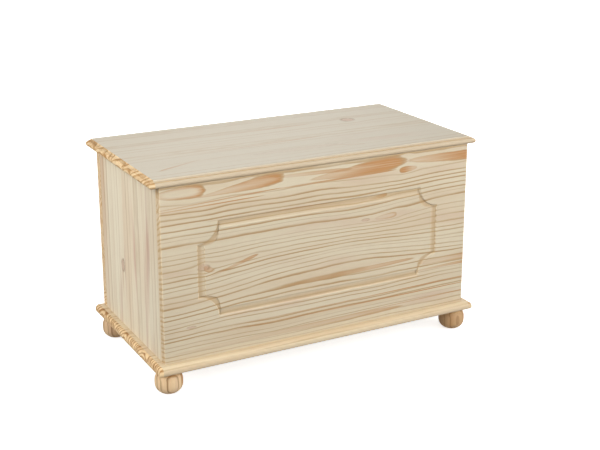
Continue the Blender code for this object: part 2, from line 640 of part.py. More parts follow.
# ------------------------------------------------------------------ stay
def build_stay(materials, lid_axis):
    """The slotted arm, its bracket and rivet on the lid, and the shouldered stud in the right panel."""
    steel = materials["steel"]
    bracket = bmesh.new()
    top = LID_BOTTOM - GAP - PIVOT_Z
    under = top - BRACKET_THICKNESS
    drop = -BRACKET_BELOW_PIVOT
    flange = EAR_OUTER - BRACKET_FLANGE
    section = [
        (flange, top),
        (EAR_OUTER, top),
        (EAR_OUTER, drop),
        (EAR_INNER, drop),
        (EAR_INNER, under),
        (flange, under),
    ]
    ends = [[bracket.verts.new((x - EAR_INNER, y, z)) for x, z in section]
            for y in (-BRACKET_LENGTH / 2, BRACKET_LENGTH / 2)]
    bridge(bracket, ends, closed=False)
    place = Matrix.Translation((EAR_INNER, PIVOT_Y, PIVOT_Z))
    add_object("stay_bracket", bracket, steel, place, lid_axis)
    for number, along in enumerate((-BRACKET_SCREW_SPACING / 2, BRACKET_SCREW_SPACING / 2), start=1):
        x = (flange + EAR_INNER) / 2
        place = (x, PIVOT_Y + along, PIVOT_Z + under)
        through = ("stay_bracket", "lid_board")
        drive_screw(f"stay_bracket_screw_{number}", BRACKET_SCREW, place, (0, 0, -1), steel, through, lid_axis)

    pivot = (ARM_INNER, PIVOT_Y, PIVOT_Z)
    stay_axis = add_axis("stay_axis", pivot, lid_axis)
    slot_start = STAY_CLOSED_SPAN - STAY_SLOT_END
    slot_end = STAY_OPEN_SPAN + STAY_SLOT_END
    arm = bmesh.new()
    outline = rounded_bar(-STAY_WIDTH / 2, slot_end + STUD_PIN_RADIUS + STAY_END, STAY_WIDTH / 2)
    extrude_outline(arm, outline, 0.0, STAY_THICKNESS)
    turn = Matrix.Rotation(STAY_TILT, 4, "X")
    add_object("stay_arm", arm, steel, Matrix.Translation(pivot) @ turn, stay_axis, smooth=True)
    slot_radius = STUD_PIN_RADIUS + STAY_SLOT_CLEARANCE
    slot = rounded_bar(slot_start - slot_radius, slot_end + slot_radius, slot_radius)
    cut = Matrix.Translation(pivot) @ turn
    extrude_outline(cutters["stay_arm", "hole"], slot, -PROUD, STAY_THICKNESS + PROUD, cut)

    rivet = bmesh.new()
    inner, outer = EAR_INNER - GAP - ARM_INNER, STAY_THICKNESS + GAP
    outline = [
        (0.0, inner - RIVET_HEAD),
        (RIVET_HEAD_RADIUS, inner - RIVET_HEAD),
        (RIVET_HEAD_RADIUS, inner),
        (RIVET_RADIUS, inner),
        (RIVET_RADIUS, outer),
        (RIVET_HEAD_RADIUS, outer),
        (RIVET_HEAD_RADIUS, outer + RIVET_HEAD),
        (0.0, outer + RIVET_HEAD),
    ]
    add_turned(rivet, outline)
    along_x = facing(pivot, (1, 0, 0))
    add_object("stay_rivet", rivet, steel, along_x, lid_axis, smooth=True)
    for piece in ("stay_bracket", "stay_arm"):
        hole = rod(RIVET_RADIUS + GAP, inner - PROUD, outer + PROUD)
        add_turned(cutters[piece, "hole"], hole, along_x)

    stud = bmesh.new()
    neck, collar = -SLIP, STAY_THICKNESS + SLIP
    wall = INNER_SIDE - ARM_INNER
    tip = wall + SIDE_THICKNESS - STUD_PIN_COVER
    outline = [
        (0.0, neck - STUD_PIN_HEAD),
        (STUD_PIN_HEAD_RADIUS, neck - STUD_PIN_HEAD),
        (STUD_PIN_HEAD_RADIUS, neck),
        (STUD_PIN_RADIUS, neck),
        (STUD_PIN_RADIUS, collar),
        (STUD_PIN_COLLAR_RADIUS, collar),
        (STUD_PIN_COLLAR_RADIUS, wall - GAP),
        (STUD_PIN_SHANK_RADIUS, wall - GAP),
        (STUD_PIN_SHANK_RADIUS, tip),
        (0.0, tip),
    ]
    add_turned(stud, outline)
    along_x = facing((ARM_INNER, STUD_Y, STUD_Z), (1, 0, 0))
    add_object("stay_stud", stud, steel, along_x, smooth=True)
    hole = rod(STUD_PIN_SHANK_RADIUS + GAP, wall - PROUD, tip + GAP)
    add_turned(cutters["right_panel", "hole"], hole, along_x)


def rounded_bar(start, end, radius):
    """A bar's outline with round ends, hanging down from start to end, as (y, z)."""
    first = [(radius * math.cos(math.pi * i / ARC_STEPS), radius * math.sin(math.pi * i / ARC_STEPS))
             for i in range(ARC_STEPS + 1)]
    upper = [(y, -start - radius + z) for y, z in first]
    lower = [(-y, -end + radius - z) for y, z in first]
    return upper + lower


def extrude_outline(bm, outline, low, high, matrix=None):
    """A flat bar of this outline between two planes across local X."""
    loops = [[bm.verts.new((x, y, z)) for y, z in outline] for x in (low, high)]
    bridge(bm, loops, closed=False)
    if matrix is not None:
        bmesh.ops.transform(bm, matrix=matrix, verts=[v for loop in loops for v in loop])


def main():
    clear_scene()
    materials = {name: make_material(name) for name in FINISHES}
    lid_axis = add_axis("lid_axis", (0, HINGE_Y, HINGE_Z))
    build_carcass(materials)
    build_base(materials)
    build_feet(materials)
    build_joinery(materials)
    build_lid(materials, lid_axis)
    build_hinges(materials, lid_axis)
    build_stay(materials, lid_axis)
    cut_everything()


main()
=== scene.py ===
"""A pine toy box: a moulded lid on brass hinges, a routed front, a moulded base and four ball feet."""

import json
import math
from collections import namedtuple

import bmesh
import bpy
from mathutils import Matrix, Vector


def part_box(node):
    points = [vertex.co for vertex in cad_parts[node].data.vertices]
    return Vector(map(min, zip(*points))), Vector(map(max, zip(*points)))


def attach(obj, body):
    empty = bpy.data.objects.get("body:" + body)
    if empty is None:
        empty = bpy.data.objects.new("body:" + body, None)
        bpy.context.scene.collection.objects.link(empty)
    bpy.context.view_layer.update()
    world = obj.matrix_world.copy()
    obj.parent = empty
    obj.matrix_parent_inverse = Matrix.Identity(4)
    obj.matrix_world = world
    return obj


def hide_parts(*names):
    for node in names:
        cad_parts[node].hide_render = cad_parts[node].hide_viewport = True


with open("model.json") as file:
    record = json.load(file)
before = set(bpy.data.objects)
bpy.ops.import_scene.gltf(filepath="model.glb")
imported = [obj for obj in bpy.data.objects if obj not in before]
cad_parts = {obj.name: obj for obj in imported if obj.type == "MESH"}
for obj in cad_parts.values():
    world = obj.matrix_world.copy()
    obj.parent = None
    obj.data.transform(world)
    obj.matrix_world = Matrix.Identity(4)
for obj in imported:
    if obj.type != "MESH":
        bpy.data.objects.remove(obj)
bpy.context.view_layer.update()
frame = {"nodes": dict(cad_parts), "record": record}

bl_info = {
    "name": "Pine toy box",
    "version": (1, 0, 0),
    "blender": (4, 5, 0),
    "location": "3D View > Sidebar > Toy box",
    "description": "Makes the boards, feet, ironwork and finishes of a pine toy box",
    "category": "Add Mesh",
}

WOOD_GAP = 0.0003  # between a hole or mortise and the metal in it
SHARP = math.radians(32)  # edges that turn more than this stay crisp
BARREL_ROOM = 0.0037  # radius of the hollow that the lid leaves for a hinge's barrel
BARREL_END_ROOM = 0.0008

# knots, heartwood and bends of the growth lines, each as pine() takes it
FRONT_KNOTS = [
    (-0.286, 0.202, 0.013, 0.007, 0.45), (0.214, 0.3665, 0.009, 0.008, 0.1),
    (0.108, 0.2455, 0.01, 0.0028, 0.55), (-0.318, 0.0735, 0.01, 0.0028, 0.5),
]
FRONT_HEARTWOOD = [
    (-0.334, 0.3705, 0.054, 0.013, 0.3, 0.0, 1.1, 0.97),  # the hollow loop at the top left
    (-0.198, 0.365, 0.1, 0.0095, 0.8, 0.095, 1.1, 0.4),  # tongues along the top edge
    (0.088, 0.364, 0.12, 0.012, 0.6, 0.05, 1.25, 0.15),
    (-0.02, 0.372, 0.09, 0.004, 0.0, -0.03, 0.8, 0.1),
    (0.335, 0.364, 0.114, 0.0105, 0.25, -0.03, 1.3, 0.1),
    (0.218, 0.349, 0.023, 0.0065, -0.3, 0.03, 1.15, 0.1),  # the drop under the pale knot
    (-0.26, 0.344, 0.15, 0.0013, 0.2, 0.04, 1.0, 0.0),  # strong lines below the tongues
    (0.02, 0.35, 0.16, 0.0018, 0.3, 0.01, 1.1, 0.0),
    (-0.31, 0.336, 0.16, 0.0012, 0.2, 0.02, 0.9, 0.0),
    (0.142, 0.294, 0.023, 0.0036, 0.5, 0.12, 1.0, 0.1),  # small tongues in and above the field
    (0.162, 0.246, 0.028, 0.0056, 0.3, 0.05, 0.6, 0.85),
    (-0.215, 0.195, 0.056, 0.003, 0.6, 0.28, 0.85, 0.1),
    (-0.273, 0.196, 0.012, 0.006, -0.3, -0.3, 0.9, 0.1),
    (0.07, 0.129, 0.17, 0.0045, 0.0, 0.02, 0.7, 0.3),  # brown bands low in the field and at its right
    (0.34, 0.116, 0.09, 0.007, 0.3, 0.0, 0.85, 0.4),
    (0.33, 0.1, 0.09, 0.003, 0.3, 0.01, 0.8, 0.0),
    (0.15, 0.061, 0.38, 0.0012, 0.1, 0.01, 1.0, 0.0),  # straight dark lines under the field
    (0.08, 0.048, 0.43, 0.0012, 0.1, 0.0, 1.0, 0.0),
    (0.2, 0.027, 0.3, 0.0011, 0.2, 0.01, 0.8, 0.0),
    (-0.12, 0.3, 0.15, 0.0022, 0.0, -0.01, 0.7, 0.0),  # faint streaks above the field and at the bottom
    (-0.07, 0.02, 0.28, 0.005, 0.3, 0.0, 0.55, 0.3),
]
FRONT_BENDS = [
    (0.06, 0.165, 0.23, 0.05, 0.028), (0.37, 0.27, 0.19, 0.05, 0.016), (-0.36, 0.1, 0.1, 0.05, -0.004),
]
LEFT_KNOTS = [(0.147, 0.048, 0.015, 0.0085, 0.75)]
LEFT_HEARTWOOD = [
    (0.19, 0.164, 0.42, 0.0135, 0.0, 0.0, 0.85, 0.5), (0.103, 0.051, 0.034, 0.003, 0.4, 0.0, 0.55, 0.0),
]
RIGHT_KNOTS = [(0.24, -0.03, 0.01, 0.009, 0.8)]
BACK_KNOTS = [(-0.11, 0.235, 0.012, 0.01, 0.9), (0.245, 0.095, 0.008, 0.008, 0.8)]
LID_KNOTS = [(0.222, 0.09, 0.016, 0.014, 0.6), (-0.01, -0.1, 0.105, 0.012, 0.12)]
LID_HEARTWOOD = [
    (-0.02, 0.094, 0.14, 0.0022, 0.0, 0.01, 0.6, 0.0),
    (-0.08, -0.027, 0.165, 0.002, 0.0, 0.03, 0.6, 0.0),
    (-0.295, -0.1005, 0.055, 0.003, -0.4, 0.4, 0.55, 0.0),
    (0.09, -0.112, 0.05, 0.002, 0.0, -0.35, 0.45, 0.0),
]

SCREWS = {  # radius of the shank, height of the head
    "base_": (0.0020, 0.0024),
    "hinge_": (0.0014, 0.0013),
    "batten_": (0.0018, 0.0020),
    "stay_": (0.0015, 0.0013),
}
# shares of the head's size, and of the shank's length and radius
CROSS_ARM, CROSS_WIDTH, CROSS_DEPTH, CROSS_TAPER = 0.62, 0.15, 0.75, 0.45
THREADED, PITCH, POINT, THREAD_ROOT, TIP = 0.62, 1.1, 1.6, 0.78, 0.70

FLOOR_RADIUS, FLOOR_GLOW = 14.0, 0.66
BACKDROP_RADIUS, BACKDROP_SWEEP, BACKDROP_HEIGHT, BACKDROP_GLOW = 13.0, 4.0, 14.0, 1.0
LIGHT_TARGET = Vector((0.0, 0.0, 0.24))
SOFTBOXES = {  # place, size, watts, blue
    "Left softbox": ((-2.6, -0.5, 1.8), 1.7, 46.0, 0.99),
    "Front softbox": ((0.0, -3.0, 1.5), 1.9, 34.0, 0.99),
    "Right fill": ((2.4, -2.2, 1.2), 1.4, 34.0, 1.0),
    "Rear softbox": ((1.4, 2.9, 0.8), 1.4, 29.0, 1.0),
}
CAMERA_PLACE = (-1.1870, -2.2894, 1.1290)
CAMERA_DIP, CAMERA_TURN = 0.2931, -0.4932  # radians
LENS, LENS_SHIFT = 69.89, -0.0583

# crease is the inset of the painted line of shade behind the nose, and 0 paints none
Moulding = namedtuple("Moulding", "half_width front inset warmth crease")


# ---- settings
def length(name, description, default, low=0.0, high=1.0):
    return bpy.props.FloatProperty(
        name=name, description=description, default=default, min=low, max=high,
        precision=4, unit="LENGTH", subtype="DISTANCE",
    )


def share(name, description, default):
    return bpy.props.FloatProperty(name=name, description=description, default=default, min=0.0, max=1.0)


def colour(name, description, *rgb):
    return bpy.props.FloatVectorProperty(
        name=name, description=description, default=rgb, size=3, min=0.0, max=1.0, subtype="COLOR",
    )


class ToyBoxSizes(bpy.types.PropertyGroup):
    """Sizes of the moulded and turned pieces"""

    arris: length("Arris", "Radius of the sanded edges of the boards", 0.0008)
    corner: length("Corner", "Rounding of the moulded boards' front corners", 0.0022)
    groove_side: length("Groove side margin", "From the ends of the front panel to the groove", 0.079)
    groove_edge: length("Groove edge margin", "From the long edges of the front panel to the groove", 0.086)
    groove_scoop: length("Groove scoop", "Radius of the scooped corners of the groove", 0.047)
    groove_wall: length("Groove wall", "Width of the groove's steep outer wall", 0.0028)
    groove_floor: length("Groove floor", "Width of the groove's flat floor", 0.0015)
    groove_slope: length("Groove slope", "Width of the long slope up to the raised field", 0.0132)
    groove_depth: length("Groove depth", "Depth of the groove", 0.0034)
    nose: length("Lid nose", "Radius of the rounded nose of the lid", 0.0057)
    quirk: length("Lid quirk", "Width of the small step behind the nose", 0.0009)
    slope: length("Lid slope", "From the edge of the lid to its flat top", 0.013)
    base_top: length("Base top round", "Radius of the base board's upper edge", 0.010)
    base_lower: length("Base lower round", "Radius of the base board's lower edge", 0.005)
    foot_square: bpy.props.FloatProperty(
        name="Foot squareness", description="How full the ball of a foot is", default=2.7, min=1.5, max=5.0
    )
    foot_flat: share("Foot flat", "Radius of a foot's flat bottom against its widest radius", 0.37)


class ToyBoxFinishes(bpy.types.PropertyGroup):
    """Colours of the wood, metal and stage"""

    early: colour("Spring wood", "Pale wood between the growth lines", 0.70, 0.612, 0.452)
    # also the colour of the painted shade in the lid's crease and along the groove's floor
    late: colour("Summer wood", "The growth lines", 0.46, 0.30, 0.145)
    # also the colour of the painted shade on the feet
    warm: colour("Heartwood", "Orange heartwood patches", 0.52, 0.265, 0.105)
    pink: colour("Blush", "Pinkish streaks and knots", 0.60, 0.40, 0.29)
    carved: colour("Routed wood", "Wood laid open by the router", 0.62, 0.41, 0.19)
    knot: colour("Knot", "The dark rim of a knot", 0.30, 0.175, 0.085)
    # partly real wear, partly a painted highlight along the edges
    wear_and_highlight: colour("Worn and highlighted edges", "Edges burnished by handling, with a painted highlight", 0.84, 0.68, 0.42)
    end_light: colour("End grain", "Sawn end grain between the rings", 0.82, 0.60, 0.33)
    end_dark: colour("End grain rings", "Rings and blotches on sawn end grain", 0.42, 0.20, 0.065)
    foot: colour("Foot wood", "Turned wood of the ball feet", 0.84, 0.61, 0.36)
    beech: colour("Beech", "The fluted dowels", 0.62, 0.43, 0.27)
    brass: colour("Brass", "The hinges and their screws", 0.76, 0.53, 0.22)
    steel: colour("Plated steel", "The lid stay, studs and other screws", 0.60, 0.61, 0.63)
    floor: colour("Floor", "The studio floor and backdrop", 0.93, 0.93, 0.93)


# ---- shader helpers
class Wiring:
    """Adds nodes to one node tree and joins them up."""

    def __init__(self, tree):
        self.tree = tree
        self.column = 0

    def add(self, kind, *values, out=0, **settings):
        """A node whose inputs are set or linked in order. None leaves an input as it is."""
        node = self.tree.nodes.new("ShaderNode" + kind)
        self.column += 1
        node.location = (self.column * 40, -60 * (self.column % 12))
        for name, value in settings.items():
            setattr(node, name, value)
        for socket, value in zip(node.inputs, values):
            self.give(socket, value)
        return node if out is None else node.outputs[out]

    def give(self, socket, value):
        if isinstance(value, bpy.types.NodeSocket):
            self.tree.links.new(value, socket)
        elif value is not None:
            if socket.type == "RGBA" and len(value) == 3:
                value = (*value, 1.0)
            socket.default_value = value

    def math(self, operation, a, b=None, c=None, clamp=False):
        return self.add("Math", a, b, c, operation=operation, use_clamp=clamp)

    def plus(self, a, b):
        return self.math("ADD", a, b)

    def less(self, a, b):
        return self.math("SUBTRACT", a, b)

    def times(self, a, b):
        return self.math("MULTIPLY", a, b)

    def over(self, a, b):
        return self.math("DIVIDE", a, b)

    def ramp(self, value, low, high, to_low=0.0, to_high=1.0, smooth=True):
        kind = "SMOOTHSTEP" if smooth else "LINEAR"
        return self.add("MapRange", value, low, high, to_low, to_high, interpolation_type=kind)

    def mix(self, factor, a, b, blend="MIX"):
        node = self.add("Mix", out=None, data_type="RGBA", blend_type=blend)
        for index, value in ((0, factor), (6, a), (7, b)):
            self.give(node.inputs[index], value)
        return node.outputs[2]

    def shade(self, colour, amount):
        return self.mix(1.0, colour, self.join(amount, amount, amount), "MULTIPLY")

    def parts(self, vector):
        node = self.add("SeparateXYZ", vector, out=None)
        return node.outputs

    def join(self, x, y, z):
        return self.add("CombineXYZ", x, y, z)

    def stretch(self, vector, *scale):
        return self.add("VectorMath", vector, scale, operation="MULTIPLY")

    def noise(self, vector, scale=1.0, detail=2.0, roughness=0.5):
        return self.add("TexNoise", vector, None, scale, detail, roughness, noise_dimensions="3D")

    def streaks(self, vector, along, across, detail=2.0, roughness=0.5):
        """Noise drawn out along the grain."""
        return self.noise(self.stretch(vector, along, across, across), 1.0, detail, roughness)

    def chance(self, value):
        return self.add("TexWhiteNoise", None, value, noise_dimensions="1D")


def new_group(name, vectors, numbers, colours, results):
    """An empty node group. numbers give each its default, and results are (name, kind)."""
    group = bpy.data.node_groups.new(name, "ShaderNodeTree")
    sockets = [(n, "Vector", None) for n in vectors] + [(n, "Float", value) for n, value in numbers.items()]
    sockets += [(n, "Color", (0.6, 0.45, 0.28, 1.0)) for n in colours]
    for socket_name, kind, default in sockets:
        socket = group.interface.new_socket(socket_name, in_out="INPUT", socket_type="NodeSocket" + kind)
        if default is not None:
            socket.default_value = default
    for socket_name, kind in results:
        group.interface.new_socket(socket_name, in_out="OUTPUT", socket_type="NodeSocket" + kind)
    wires = Wiring(group)
    start = group.nodes.new("NodeGroupInput")
    end = group.nodes.new("NodeGroupOutput")
    return group, wires, {s.name: s for s in start.outputs}, {s.name: s for s in end.inputs}


def use_group(wires, group, **values):
    """Places a group in a tree. Underscores in the names stand for spaces."""
    node = wires.add("Group", out=None, node_tree=group)
    for name, value in values.items():
        wires.give(node.inputs[name.replace("_", " ")], value)
    return node.outputs


def growth_group():
    """Growth rings, fibre and tone of sawn pine. X runs along the grain, Y into the board, Z across it."""
    group, w, given, out = new_group(
        "Pine grain", ["Vector"],
        {
            "End": 0.0, "Lift": 0.0, "Seed": 0.0, "Stave": 10.0, "Pith Depth": 0.08, "Pith Height": 0.0,
            "Pith Spread": 0.0, "Spacing": 0.009, "Wander": 0.008, "Along": 2.4, "Across": 7.0,
            "Late Width": 0.4, "Line": 0.8, "Tone": 0.5, "Blush": 0.3, "Stave Tone": 0.0,
        },
        ["Early", "Late", "Warm", "Pink", "End Light", "End Dark"],
        [("Color", "Color"), ("Roughness", "Float"), ("Height", "Float")],
    )
    x, y, z = w.parts(given["Vector"])
    stave = w.math("FLOOR", w.plus(w.over(z, given["Stave"]), 0.5))
    key = w.plus(w.times(stave, 7.31), given["Seed"])
    luck = [w.chance(w.plus(key, n)) for n in (0.17, 3.71, 9.13)]
    away = w.plus(x, w.times(luck[0], 9.0))
    deep, high = w.times(y, given["Across"]), w.plus(w.times(z, given["Across"]), key)
    slow = w.join(w.times(away, given["Along"]), deep, high)
    wander = w.times(w.less(w.noise(slow, 1.0, 2.5, 0.45), 0.5), w.times(given["Wander"], 2.0))
    height = w.plus(w.less(w.less(z, given["Lift"]), w.times(stave, given["Stave"])), wander)
    height = w.less(w.less(height, given["Pith Height"]), w.times(w.less(luck[1], 0.5), given["Pith Spread"]))
    depth = w.less(y, w.times(given["Pith Depth"], w.plus(0.75, w.times(luck[2], 0.5))))
    radius = w.math("SQRT", w.plus(w.times(height, height), w.times(depth, depth)))
    count = w.over(radius, given["Spacing"])
    uneven = w.noise(w.join(w.times(count, 0.55), key, 0.0), 1.0, 1.0)
    ripple = w.streaks(given["Vector"], 18.0, 60.0)
    count = w.plus(w.plus(count, w.times(uneven, 1.5)), w.times(ripple, 0.22))
    turn = w.math("FRACT", count)
    ring = w.chance(w.plus(w.math("FLOOR", count), key))
    start = w.less(1.0, w.times(given["Late Width"], w.plus(0.65, w.times(ring, 0.7))))
    late = w.times(w.ramp(turn, start, 0.90), w.ramp(turn, 0.93, 1.0, 1.0, 0.0))
    fade = w.ramp(w.streaks(given["Vector"], 5.0, 40.0), 0.30, 0.62, 0.5, 1.0)
    late = w.times(w.times(late, fade), w.plus(0.4, w.times(ring, 0.6)))
    line = w.times(late, given["Line"])
    fibre = w.streaks(given["Vector"], 45.0, 1100.0, 3.0, 0.6)
    canals = w.ramp(w.streaks(given["Vector"], 110.0, 1500.0, 1.0), 0.66, 0.76)
    tone = w.noise(w.join(w.times(away, 2.2), w.times(y, 20.0), w.times(z, 26.0)), 1.0, 3.0)
    streaks = w.join(w.times(away, 2.8), w.plus(key, 4.0), w.times(z, 19.0))
    blush = w.ramp(w.noise(streaks), 0.56, 0.74)
    warmth = w.times(w.ramp(tone, 0.35, 0.75), w.times(given["Tone"], 0.45))
    wood = w.mix(warmth, given["Early"], given["Warm"])
    wood = w.mix(w.times(blush, given["Blush"]), wood, given["Pink"])
    wood = w.mix(line, wood, given["Late"])
    # sawn ends soak up more light between the rings, and show them broad and blotchy
    speck = w.streaks(given["Vector"], 60.0, 420.0, 3.0, 0.7)
    blotch = w.streaks(given["Vector"], 30.0, 75.0)
    stripe = w.times(w.ramp(turn, 0.40, 0.80), w.ramp(turn, 0.92, 1.0, 1.0, 0.15))
    curl = w.plus(w.times(stripe, 0.75), w.ramp(blotch, 0.42, 0.70, 0.0, 0.45))
    dark = w.math("ADD", w.times(curl, 1.1), w.times(w.less(speck, 0.5), 0.7), clamp=True)
    end = w.mix(dark, given["End Light"], given["End Dark"])
    wood = w.mix(given["End"], wood, end)
    shade = w.plus(w.ramp(fibre, 0.25, 0.75, 0.955, 1.045), w.times(canals, -0.10))
    shade = w.plus(shade, w.times(w.less(luck[0], 0.5), given["Stave Tone"]))
    w.give(out["Color"], w.shade(wood, shade))
    rough = w.plus(w.times(fibre, 0.10), w.times(given["End"], 0.12))
    w.give(out["Roughness"], w.plus(w.plus(0.60, w.times(line, -0.10)), rough))
    w.give(out["Height"], w.plus(w.plus(w.times(fibre, 0.45), w.times(late, 0.6)), w.times(canals, -0.5)))
    return group


def lens_group():
    """Distance from a lens-shaped spot in the grain, 1 on its edge, and how far it pushes the lines apart."""
    group, w, given, out = new_group(
        "Grain lens", ["Vector"],
        {
            "Centre X": 0.0, "Centre Z": 0.0, "Half Length": 0.02, "Half Height": 0.01, "Ragged": 0.25,
            "Reach": 2.0, "Taper": 0.0, "Tilt": 0.0, "Blunt": 0.0,
        },
        [], [("Distance", "Float"), ("Push", "Float"), ("Along", "Float")],
    )
    x, _, z = w.parts(given["Vector"])
    along = w.less(x, given["Centre X"])
    across = w.less(w.less(z, given["Centre Z"]), w.times(along, given["Tilt"]))
    u, v = w.over(along, given["Half Length"]), w.over(across, given["Half Height"])
    v = w.over(v, w.math("MAXIMUM", w.plus(1.0, w.times(u, given["Taper"])), 0.12))
    square = w.times(u, u)
    square = w.times(square, w.plus(1.0, w.times(given["Blunt"], w.less(square, 1.0))))
    distance = w.math("SQRT", w.plus(square, w.times(v, v)))
    rough = w.less(w.noise(w.stretch(given["Vector"], 22.0, 30.0, 150.0), 1.0, 3.0), 0.5)
    ragged = w.plus(distance, w.times(w.times(rough, given["Ragged"]), 2.0))
    reach = w.over(distance, given["Reach"])
    w.give(out["Distance"], ragged)
    w.give(out["Along"], u)
    w.give(out["Push"], w.times(across, w.math("EXPONENT", w.times(w.times(reach, reach), -1.0))))
    return group


def arris_group():
    """A mask along the edges of a box-shaped board, where handling has burnished the wood and a lighter
    painted highlight is laid.
    """
    group, w, given, out = new_group(
        "Burnished and highlighted arris", ["Vector", "Middle", "Half"], {"Width": 0.003}, [], [("Mask", "Float")]
    )
    place = w.add("VectorMath", given["Vector"], given["Middle"], operation="SUBTRACT")
    place = w.add("VectorMath", place, operation="ABSOLUTE")
    dx, dy, dz = w.parts(w.add("VectorMath", given["Half"], place, operation="SUBTRACT"))
    middle = w.math("MAXIMUM", w.math("MINIMUM", dx, dy), w.math("MINIMUM", w.math("MAXIMUM", dx, dy), dz))
    rough = w.times(w.less(w.noise(given["Vector"], 90.0, 3.0), 0.5), w.times(given["Width"], 1.5))
    w.give(out["Mask"], w.ramp(w.plus(middle, rough), 0.0, given["Width"], 1.0, 0.0))
    return group


def brushed_group():
    """Fine scratches and soft tarnish on metal."""
    group, w, given, out = new_group(
        "Worn metal", ["Vector"], {"Polish": 0.25}, ["Metal"],
        [("Color", "Color"), ("Roughness", "Float"), ("Height", "Float")],
    )
    scratch = w.streaks(given["Vector"], 300.0, 2600.0, 3.0, 0.65)
    tarnish = w.noise(given["Vector"], 140.0, 4.0, 0.6)
    dull = w.ramp(tarnish, 0.42, 0.72)
    tone = w.plus(w.ramp(scratch, 0.3, 0.7, 0.92, 1.06), w.times(dull, -0.16))
    w.give(out["Color"], w.shade(given["Metal"], tone))
    w.give(out["Roughness"], w.plus(w.plus(given["Polish"], w.times(scratch, 0.12)), w.times(dull, 0.16)))
    w.give(out["Height"], scratch)
    return group


def group_named(name, make):
    return bpy.data.node_groups.get(name) or make()


# ---- materials
WAYS = {  # rows give the board's own axes: along the grain, into the board, across the grain
    "front": Matrix(((1, 0, 0), (0, 1, 0), (0, 0, 1))),
    "upright": Matrix(((0, 0, 1), (1, 0, 0), (0, 1, 0))),
    "flat": Matrix(((1, 0, 0), (0, 0, -1), (0, 1, 0))),
    "crosswise": Matrix(((0, 1, 0), (0, 0, 1), (1, 0, 0))),
    "standing": Matrix(((0, 0, 1), (0, 1, 0), (-1, 0, 0))),
}


def start_material(name, base):
    material = bpy.data.materials.new(name)
    material.use_nodes = True
    material.diffuse_color = (*base, 1.0)
    material.node_tree.nodes.clear()
    w = Wiring(material.node_tree)
    shader = w.add("BsdfPrincipled", out=None)
    end = w.add("OutputMaterial", out=None)
    w.give(end.inputs["Surface"], shader.outputs[0])
    return material, w, shader


def set_surface(w, shader, colour, rough, height, depth, strength):
    """Gives a shader its colour and roughness, and a bump of this depth."""
    bump = w.add("Bump", out=None)
    for name, value in (("Strength", strength), ("Distance", depth), ("Height", height)):
        w.give(bump.inputs[name], value)
    for name, value in (("Base Color", colour), ("Roughness", rough), ("Normal", bump.outputs[0])):
        w.give(shader.inputs[name], value)


def place_heartwood_and_shade(w, spot, patches):
    """Orange patches of heartwood, or of painted shade on the feet. Returns the (distance, strength, hollow)
    of each, and how far they lift the lines.
    """
    patch_marks, lift = [], 0.0
    for x, z, half_length, half_height, taper, tilt, strength, hollow in patches:
        found = spot(x, z, half_length, half_height, Ragged=0.22, Taper=taper, Tilt=tilt, Blunt=0.8)
        fading = w.ramp(w.times(found["Along"], 1.0 if taper >= 0 else -1.0), -1.0, 0.7, 0.35, 1.0)
        patch_marks.append((found["Distance"], w.times(fading, strength), hollow))
        lift = w.plus(lift, w.times(found["Push"], 0.55))
    return patch_marks, lift


def paint_heartwood_and_shade(w, tone, vector, patch_marks, finishes):
    """Fills the patches and draws a growth line round each."""
    if not patch_marks:
        return tone
    streaks = w.ramp(w.noise(w.stretch(vector, 7.0, 90.0, 260.0), 1.0, 3.0), 0.3, 0.6, 0.62, 1.0)
    for distance, strength, hollow in patch_marks:
        fill = w.times(w.ramp(distance, 1.10, 0.88), streaks)
        inner = w.ramp(distance, 0.35, 0.97, 1.0 - hollow, 1.0)
        tone = w.mix(w.times(w.times(fill, inner), strength), tone, finishes.warm)
        line = w.times(w.ramp(distance, 1.12, 1.0), w.ramp(distance, 0.80, 0.97))
        tone = w.mix(w.times(w.times(line, strength), 0.55), tone, finishes.late)
    return tone


def stain_knots(w, tone, vector, rims, finishes):
    """Draws each knot: a pinkish heart with a swirl and a broken dark rim."""
    if not rims:
        return tone
    broken = w.ramp(w.noise(w.stretch(vector, 60.0, 90.0, 130.0)), 0.42, 0.58, 0.1, 1.0)
    for distance, dark in rims:
        tone = w.mix(w.times(w.ramp(distance, 1.25, 0.7), dark), tone, finishes.pink)
        rim = w.times(w.times(w.ramp(distance, 1.35, 1.02), w.ramp(distance, 0.72, 0.98)), broken)
        swirl = w.ramp(w.math("PINGPONG", w.times(distance, 3.0), 0.5), 0.32, 0.48)
        swirl = w.times(w.times(swirl, w.ramp(distance, 1.0, 0.8)), 0.35)
        tone = w.mix(w.times(w.plus(rim, swirl), dark), tone, finishes.knot)
    return tone


def stain_and_shade_moulding(w, tone, vector, depth, end, moulding, finishes):
    """Warms the moulded front edge, and paints a line of shade into the crease behind its nose."""
    rib = w.ramp(w.noise(w.stretch(vector, 9.0, 40.0, 60.0)), 0.3, 0.7, 0.55, 1.0)
    if moulding.crease:
        crease = moulding.front + moulding.crease
        # painted shade: the crease behind the nose is darkened where shade falls in it
        crease_shade = w.ramp(w.math("ABSOLUTE", w.less(depth, crease)), 0.0005, 0.0016, 1.0, 0.0)
        tone = w.mix(w.times(w.times(crease_shade, rib), 0.55), tone, finishes.late)
    back = moulding.front + moulding.inset
    band = w.ramp(depth, back - 0.0015, back + 0.0005, 1.0, 0.0)
    return w.mix(w.times(w.times(band, w.less(1.0, end)), moulding.warmth), tone, finishes.carved)


def stain_and_shade_carving(w, tone, depth, carved, finishes):
    """Warms the wood inside a routed groove, and paints a thin line of shade along its floor at the foot of
    its wall.
    """
    tone = w.mix(w.times(w.ramp(depth, 0.0004, 0.0034), carved), tone, finishes.carved)
    # painted shade: the deepest part of the groove is darkened
    return w.mix(w.ramp(depth, 0.0026, 0.0034, 0.0, 0.34), tone, finishes.late)


